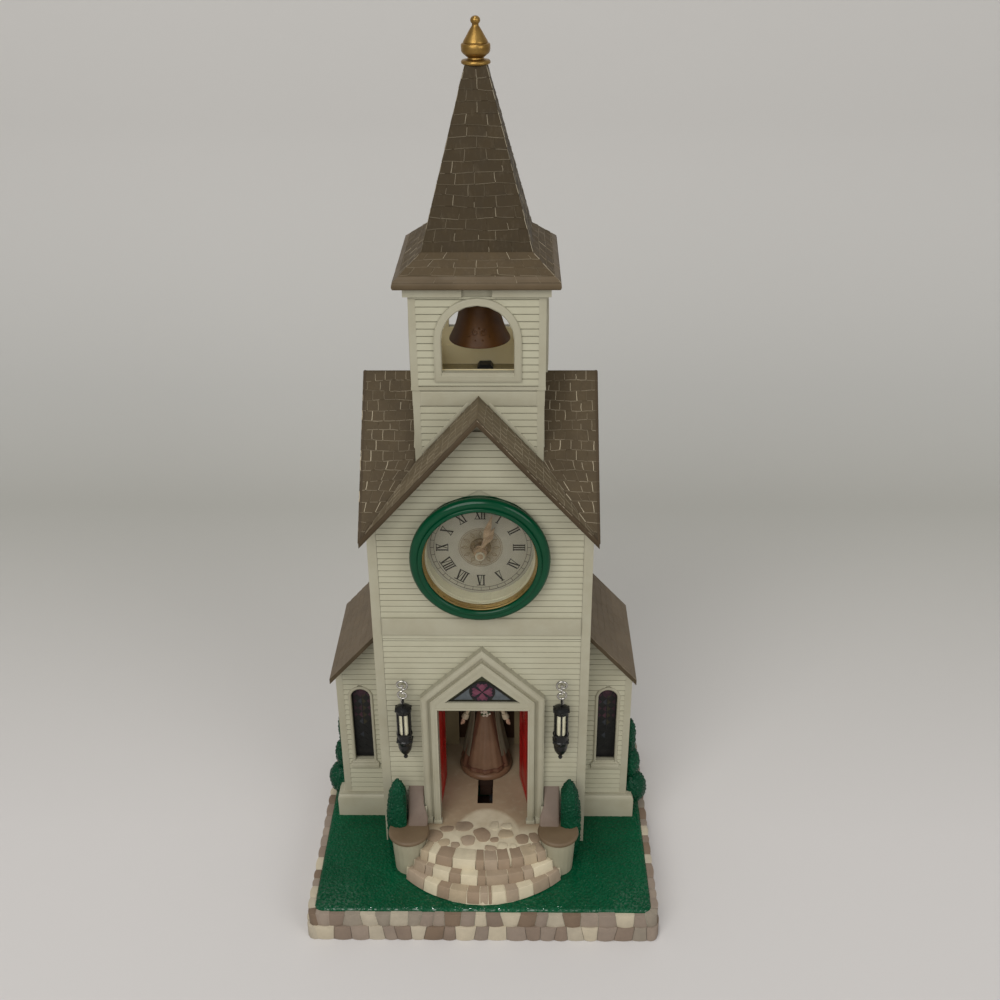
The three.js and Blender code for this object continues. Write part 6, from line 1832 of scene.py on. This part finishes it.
for side, word, opened in ((-1, "left", 86), (1, "right", 79)):
    door = bmesh.new()
    x, y = side * 22.9, -29.9
    place = (Matrix.Translation((x, y, 0)) @ Matrix.Rotation(radians(-side * opened), 4, "Z"))
    across = lambda near, far: sorted((-side * near, -side * far))
    for xs, zs in ((across(0.6, 4.5), (33.6, 105.9)), (across(19.1, 22.6), (33.6, 105.9)),
                   (across(4.5, 19.1), (33.6, 37.6)), (across(4.5, 19.1), (62, 68)),
                   (across(4.5, 19.1), (99.9, 105.9))):
        add_box(door, place, xs, (-1, 1), zs)
    add_box(door, place, across(4.4, 19.2), (-0.85, 0.9), (37.5, 100))
    round_edges(door, 0.1, 2, sharp=1.2)
    for zs in ((39.0, 60.6), (69.4, 98.5)):
        framed_panel(door, place, across(5.8, 17.8), zs, -0.8)
    for z in (38.5, 70, 101.5):
        sweep_rod(door, [(x, y, z - 2.4, 1.3), (x, y, z + 2.4, 1.3)], 14)
    sweep_rod(door, [(x, y, 31.4, 0.8), (x, y, 109.2, 0.8)], 12)
    finish_piece(f"{word}_panelled_door", door, RED, f"{word}_door", stands_for=(f"{word}_door",),
                 crease=35)
print("door:", triangles_made["left_panelled_door"], "triangles")

# %% [markdown]
# ## The stage behind the doors
# The inside of the porch is painted by place: its walls are a dull tan, and the round-headed niche at the
# back is dark brown, which is painted shade in the niche. One material reads the place in Object
# coordinates and picks the paint, with the same soft mottling everywhere. A thin brown bed lies in the
# slot of the floor.

# %% Stage paint
STAGE = start_finish("stage_paint_and_niche_shade", tone(120, 106, 80), roughness=0.6)
stage_place = axes_of(STAGE)
into_niche = calculate(STAGE, "GREATER_THAN", stage_place["Y"], 0.0332)
walls = mottled(STAGE, 50, tone(144, 128, 96), tone(158, 142, 110))
# The niche's dark brown is painted shade.
deep = mottled(STAGE, 60, tone(64, 44, 30), tone(78, 56, 40))
feed(STAGE, blend_colour(STAGE, into_niche, walls, deep), "Base Color")
skin(STAGE, noise(STAGE, 900, 3), 0.15)
dress(STAGE, "stage_box")

CARRIAGE = moulded("carriage_brown", tone(58, 40, 30), tone(46, 31, 23), patch=60, rough=(0.5, 0.65))
dress(CARRIAGE, "figure_carriage")
slot_bed = bmesh.new()
add_box(slot_bed, Matrix.Identity(4), (-9, 9), (-44, -6), (17.75, 18.05))
round_edges(slot_bed, 0.1, 1, sharp=1.2)
finish_piece("slot_bed", slot_bed, CARRIAGE)
print("stage painted")

# %% [markdown]
# ## The bride
# She is a small painted figure with a calm, plain doll's face. Her gown is a lathe shape whose radius
# swings in and out for the folds, deeper toward the hem. A lighter apron panel lies over its front, with
# a dark piping along its lower edge. The veil is a thin shell open at the front. Every surface
# here is one `draped` sheet: a grid of points in height and turn, closed at both ends.

# %% Draped surfaces
FIGURE_TONES = {"gown": (106, 76, 58), "gown_deep": (96, 64, 49), "panel": (118, 92, 71),
                "piping": (84, 52, 42), "bodice": (148, 126, 108), "veil": (112, 106, 88),
                "veil_edge": (150, 144, 128), "cream": (200, 188, 160), "skin": (196, 160, 134),
                "hair": (74, 50, 34), "eye": (44, 36, 34), "lips": (150, 78, 70), "flower": (214, 206, 186),
                "leaf": (70, 84, 54)}
PAINTED = painted("figure_paint", tone(150, 112, 90), 180, 1600, (0.38, 0.55), bump=0.12)
STAND = Vector((0, 2.5, 36.5))


def colour_faces(faces, layer, name):
    colour_loops(faces, layer, tone(*FIGURE_TONES[name]))


def draped(shape, layer, levels, columns, reach, paint):
    """A closed skin of revolution: reach(level, turn) is its radius, turn 0 faces the front."""
    rings = []
    for z in levels:
        ring = []
        for k in range(columns):
            turn = 2 * pi * k / columns
            radius = reach(z, turn)
            ring.append(shape.verts.new(STAND + Vector((radius * sin(turn), -radius * cos(turn), z))))
        rings.append(ring)
    faces = [shape.faces.new(rings[0][::-1]), shape.faces.new(rings[-1])]
    for low, high, z in zip(rings, rings[1:], levels):
        for k in range(columns):
            after = (k + 1) % columns
            face = shape.faces.new((low[k], low[after], high[after], high[k]))
            colour_faces([face], layer, paint(z, 2 * pi * (k + 0.5) / columns))
            faces.append(face)
    bmesh.ops.recalc_face_normals(shape, faces=faces)


def along_profile(profile, z):
    """Radius at a height by smooth steps between (radius, height) pairs."""
    for (r0, z0), (r1, z1) in zip(profile, profile[1:]):
        if z <= z1:
            share = max(0.0, (z - z0) / (z1 - z0))
            return r0 + (r1 - r0) * share
    return profile[-1][0]


def from_front(turn):
    return abs((turn + pi) % (2 * pi) - pi)


print("drape ready")

# %% [markdown]
# The gown's panel is widest at the hem and narrows to the waist, so its edge is a curve in height and
# turn. The faces inside that curve stand out a little, and the lowest row of them is the piping.

# %% Gown and bodice
GOWN = [(12.3, 0.0), (12.8, 0.5), (12.75, 1.6), (12.0, 4.6), (11.1, 9.0), (9.7, 14.5), (8.0, 20.5),
        (6.1, 27.0), (4.0, 34.6), (3.8, 36.4), (4.15, 39.0), (4.6, 42.6), (4.45, 44.6), (3.7, 46.4),
        (2.3, 47.6), (1.45, 48.6), (1.45, 50.6)]
panel_half = lambda z: 0.36 + 0.54 * max(0.0, 1 - z / 36) ** 0.7


def gown_reach(z, turn):
    radius = along_profile(GOWN, z)
    fade = max(0.0, 1 - z / 36)
    folds = (0.5 * fade * cos(11 * turn + 0.5 * sin(z * 0.16))
             + 0.22 * fade * cos(23 * turn + 1.3))
    on_panel = from_front(turn) < panel_half(z) and 2.9 < z < 35
    return radius + (0.12 + folds * 0.5 if on_panel else folds)


def gown_paint(z, turn):
    off = from_front(turn)
    if 2.4 < z < 3.2 and off < panel_half(z) + 0.1:
        return "piping"
    if 2.6 < z < 35 and off < panel_half(z):
        return "panel"
    if z > 36:
        return "bodice"
    # The troughs of the folds take a darker brown: painted shade.
    return "gown_deep" if cos(11 * turn + 0.5 * sin(z * 0.16)) < -0.55 else "gown"


bride, layer = start_shape()
levels = [0, 0.3, 0.6, 1.1, 1.6, 2.1, 2.6, 3.2] + [4.2 + 1.05 * k for k in range(30)] + [35.4, 36, 36.5]
levels += [37.4 + 0.7 * k for k in range(14)] + [47.2, 47.6, 48.2, 49.4, 50.6]
draped(bride, layer, levels, 110, gown_reach, gown_paint)
draped(bride, layer, [35.2, 35.5, 36.6, 36.9], 40, lambda z, t: 4.1 if 35.3 < z < 36.8 else 3.9,
       lambda z, t: "cream")
print("gown faces:", len(bride.faces))

# %% [markdown]
# Puffed sleeves, bent arms with cuffs and small mitten hands come next, then the head with hair, eyes
# and lips as shallow ovals, and a bunch of flowers at the waist. The hands hang a little away from the
# skirt, which is how they show at both sides of the doorway in the photograph.

# %% Arms, head and flowers
def painted_ball(shape, layer, centre, radii, columns, rows, name):
    made = add_ball(shape, centre, radii, columns, rows)
    colour_faces({face for vert in made for face in vert.link_faces}, layer, name)


def on_stand(stations):
    return [(x, y + STAND.y, z + STAND.z, r) for x, y, z, r in stations]


for side in (-1, 1):
    arm = [(side * 3.9, 0, 44.2, 1.5), (side * 6.4, -0.5, 39.5, 1.35), (side * 8.6, -1.2, 34.2, 1.15),
           (side * 10.2, -1.8, 30.4, 1.0)]
    colour_faces(sweep_rod(bride, on_stand(curve_through(arm, 5)), 12), layer, "cream")
    cuff = [(side * 9.7, -1.6, 31.7, 1.55), (side * 10.5, -1.9, 29.8, 1.9), (side * 10.9, -2.05, 29.0, 1.75)]
    colour_faces(sweep_rod(bride, on_stand(cuff), 14), layer, "cream")
    painted_ball(bride, layer, STAND + Vector((side * 11.6, -2.3, 27.2)), (1.1, 0.8, 1.7), 12, 8, "skin")
    for k in range(3):
        tip = STAND + Vector((side * (11.5 + 0.55 * k), -2.5 - 0.1 * k, 26.2 - 0.1 * k))
        painted_ball(bride, layer, tip, (0.32, 0.34, 1.0), 7, 6, "skin")
    for k in range(5):
        turn = radians(72 * k)
        puff = Vector((side * (4.9 + 0.45 * sin(turn)), 0.7 * cos(turn), 43.2 + 0.7 * sin(turn)))
        painted_ball(bride, layer, STAND + puff, (1.75, 1.7, 2.2), 12, 8, "cream")
    ruffle = [(side * (5.9 + 0.1 * k), -0.5, 40.9 - 0.2 * k, 1.75 + 0.2 * (k % 2)) for k in range(3)]
    colour_faces(sweep_rod(bride, on_stand(ruffle), 14), layer, "veil_edge")

head = STAND + Vector((0, -0.1, 52.9))
painted_ball(bride, layer, head, (3.45, 3.6, 4.5), 24, 16, "skin")
painted_ball(bride, layer, head + Vector((0, 1.0, 0.95)), (3.85, 3.6, 4.3), 24, 16, "hair")
for side in (-1, 1):
    painted_ball(bride, layer, head + Vector((side * 1.9, -2.3, 2.5)), (1.7, 0.9, 1.3), 12, 8, "hair")
    painted_ball(bride, layer, head + Vector((side * 1.3, -3.22, 0.25)), (0.45, 0.3, 0.3), 10, 6, "eye")
    painted_ball(bride, layer, head + Vector((side * 1.3, -3.1, 1.15)), (0.6, 0.28, 0.14), 8, 6, "hair")
painted_ball(bride, layer, head + Vector((0, -3.4, -0.75)), (0.36, 0.5, 0.55), 8, 6, "skin")
painted_ball(bride, layer, head + Vector((0, -3.08, -2.05)), (0.75, 0.3, 0.26), 10, 6, "lips")
for k in range(14):
    turn, ring = 2.4 * k, 0.55 * sqrt(k)
    spot = STAND + Vector((ring * 1.15 * cos(turn), -4.9 - 0.06 * (14 - k), 34.5 + ring * sin(turn)))
    painted_ball(bride, layer, spot, (0.72, 0.6, 0.72), 8, 6, "flower" if k % 4 else "leaf")
finish_piece("painted_bride", bride, PAINTED, "figure", stands_for=("bride_figure",),
             crease=45)
print("bride:", triangles_made["painted_bride"], "triangles")

# %% [markdown]
# The veil is a shell of two draped walls joined at the front edges, with soft folds that run down, and a
# ring of small buds sits on the head. The disc under her has a rounded rim and one turned groove.

# %% Veil, buds and disc
VEIL = [(12.2, 8.0), (10.2, 17.0), (8.4, 27.0), (7.1, 39.5), (6.3, 46.0), (5.9, 51.0), (5.1, 55.0),
        (3.4, 57.4), (0.9, 58.4)]
veil, layer = start_shape()
heights = [8 + 1.26 * k for k in range(41)]
open_half = lambda z: 0.8 if z < 46 else 0.8 - 0.2 * min(1.0, (z - 46) / 10)
walls = []
for inset in (0.0, 0.55):
    wall = []
    for z in heights:
        row = []
        for k in range(61):
            turn = open_half(z) + (2 * pi - 2 * open_half(z)) * k / 60
            radius = along_profile(VEIL, z) - inset + 0.22 * sin(13 * turn) * min(1.0, (59 - z) / 20)
            spot = Vector((radius * sin(turn), -radius * cos(turn) + 1.0, z - inset * (z > 56)))
            row.append(veil.verts.new(STAND + spot))
        wall.append(row)
    walls.append(wall)
outer, inner = walls
faces = []
for grid, flip in ((outer, False), (inner, True)):
    for low, high in zip(grid, grid[1:]):
        for k in range(60):
            quad = (low[k], low[k + 1], high[k + 1], high[k])
            faces.append(veil.faces.new(quad[::-1] if flip else quad))
    crown = grid[-1]
    faces.append(veil.faces.new(crown[::-1] if flip else crown))
for a, b in zip(range(60), range(1, 61)):
    faces.append(veil.faces.new((outer[0][b], outer[0][a], inner[0][a], inner[0][b])))
faces.append(veil.faces.new((outer[-1][0], outer[-1][60], inner[-1][60], inner[-1][0])))
for low, high, low_in, high_in in zip(outer, outer[1:], inner, inner[1:]):
    faces.append(veil.faces.new((low[0], high[0], high_in[0], low_in[0])))
    faces.append(veil.faces.new((low[60], low_in[60], high_in[60], high[60])))
bmesh.ops.recalc_face_normals(veil, faces=faces)
colour_faces(faces, layer, "veil")
for k in range(9):
    turn = radians(-80 + 20 * k)
    spot = STAND + Vector((4.6 * sin(turn), -3.9 * cos(turn) + 0.6, 56.0 - 0.6 * cos(turn)))
    painted_ball(veil, layer, spot, (0.62, 0.62, 0.62), 8, 6, "flower")
finish_piece("draped_veil", veil, PAINTED, "figure", crease=60)

DISC = painted("disc_paint", tone(95, 70, 55), 90, 1200, (0.35, 0.5), bump=0.1)
turntable, layer = start_shape()
EDGE = [(0, 33.45), (13.2, 33.45), (13.85, 33.75), (13.95, 34.6), (13.75, 35.5), (13.2, 36.15), (12.5, 36.5),
        (11.9, 36.6), (11.5, 36.55), (11.3, 36.35), (11.1, 36.3), (10.9, 36.4), (10.7, 36.6), (0, 36.62)]
spin_profile(turntable, EDGE, Vector((0, 2.5, 0)), 72)
# The turned groove is painted a darker brown: painted shade in the groove.
for face in turntable.faces:
    reach = (face.calc_center_median() - Vector((0, 2.5, 0))).xy.length
    colour_loops([face], layer, tone(70, 46, 36) if 10.75 < reach < 11.5 else tone(116, 88, 66))
finish_piece("turned_disc", turntable, DISC, "figure", crease=40)
print("veil:", triangles_made["draped_veil"], "disc:", triangles_made["turned_disc"])

# %% [markdown]
# ## The back of the case
# The photograph does not show the back, so it follows the usual pattern of such clocks: a screwed cover
# with a speaker grille, a push button, a slide switch and a battery door. Rounded rims frame each of
# them, the door gets grip ribs, and the two cells get a dark jacket with a copper end.

# %% Back details
CELL = start_finish("cell_jacket", tone(36, 38, 42), roughness=0.32, metallic=0.5)
cell_place = axes_of(CELL)
copper_end = calculate(CELL, "GREATER_THAN", cell_place["X"], 0.0118)
jacket = mottled(CELL, 120, tone(30, 32, 36), tone(42, 44, 48), detail=2)
copper = mottled(CELL, 120, tone(168, 112, 62), tone(186, 128, 74), detail=2)
feed(CELL, blend_colour(CELL, copper_end, jacket, copper), "Base Color")
skin(CELL, noise(CELL, 900, 2), 0.05)
dress(CELL, "battery_cell_1", "battery_cell_2")

rims = bmesh.new()
cover = facing(2, 39.0)


def rim_rectangle(xs, zs):
    return [(xs[0], zs[0]), (xs[0], zs[1]), (xs[1], zs[1]), (xs[1], zs[0])]


carry_section(rims, cover, disc((0, 70), 21.4, 56), rounded_section(1.3, -0.2, 0.8, 0.35), closed=True)
carry_section(rims, cover, disc((30, 90), 5.6, 36), rounded_section(1.2, -0.2, 0.7, 0.35), closed=True)
carry_section(rims, cover, rim_rectangle((-36.9, -23.1), (86.6, 93.4)), rounded_section(1.2, -0.2, 0.7, 0.35),
              closed=True)
carry_section(rims, cover, rim_rectangle((-43.6, 43.6), (22.6, 139.6)), rounded_section(1.2, -0.2, 0.6, 0.3),
              closed=True)
for x in (-41.5, 41.5):
    carry_section(rims, cover, disc((x * 0.995, 92), 3.3, 28), rounded_section(0.6, -0.2, 0.4, 0.2),
                  closed=True)
finish_piece("cover_rims", rims, TRIM, crease=40)
grip = bmesh.new()
door_face = facing(2, 40.8)
for k in range(4):
    for side in (-1, 1):
        add_bar(grip, door_face, (side * (6 + 2 * k), 125.0), (side * (6 + 2 * k), 131.5), 0.8, 0.5)
carry_section(grip, door_face, rim_rectangle((-29.0, 29.0), (105.0, 134.6)),
              rounded_section(0.9, -0.2, 0.4, 0.2), closed=True)
finish_piece("door_grip", grip, TRIM, "battery_door", crease=40)
hatch_edge = bmesh.new()
carry_section(hatch_edge, facing(2, CASE_WALL), rim_rectangle((-27.2, 27.2), (162.4, 209.2)),
              rounded_section(1.1, -0.2, 0.5, 0.25), closed=True)
for k in range(5):
    add_bar(hatch_edge, facing(2, CASE_WALL), (-16, 196 - 3 * k), (16, 196 - 3 * k), 1.1, 0.45)
finish_piece("hatch_rim", hatch_edge, TRIM, "rear_hatch", crease=40)
print("back rims:", triangles_made["cover_rims"])


# %% Count the triangles
print("triangles by piece:", triangles_made)
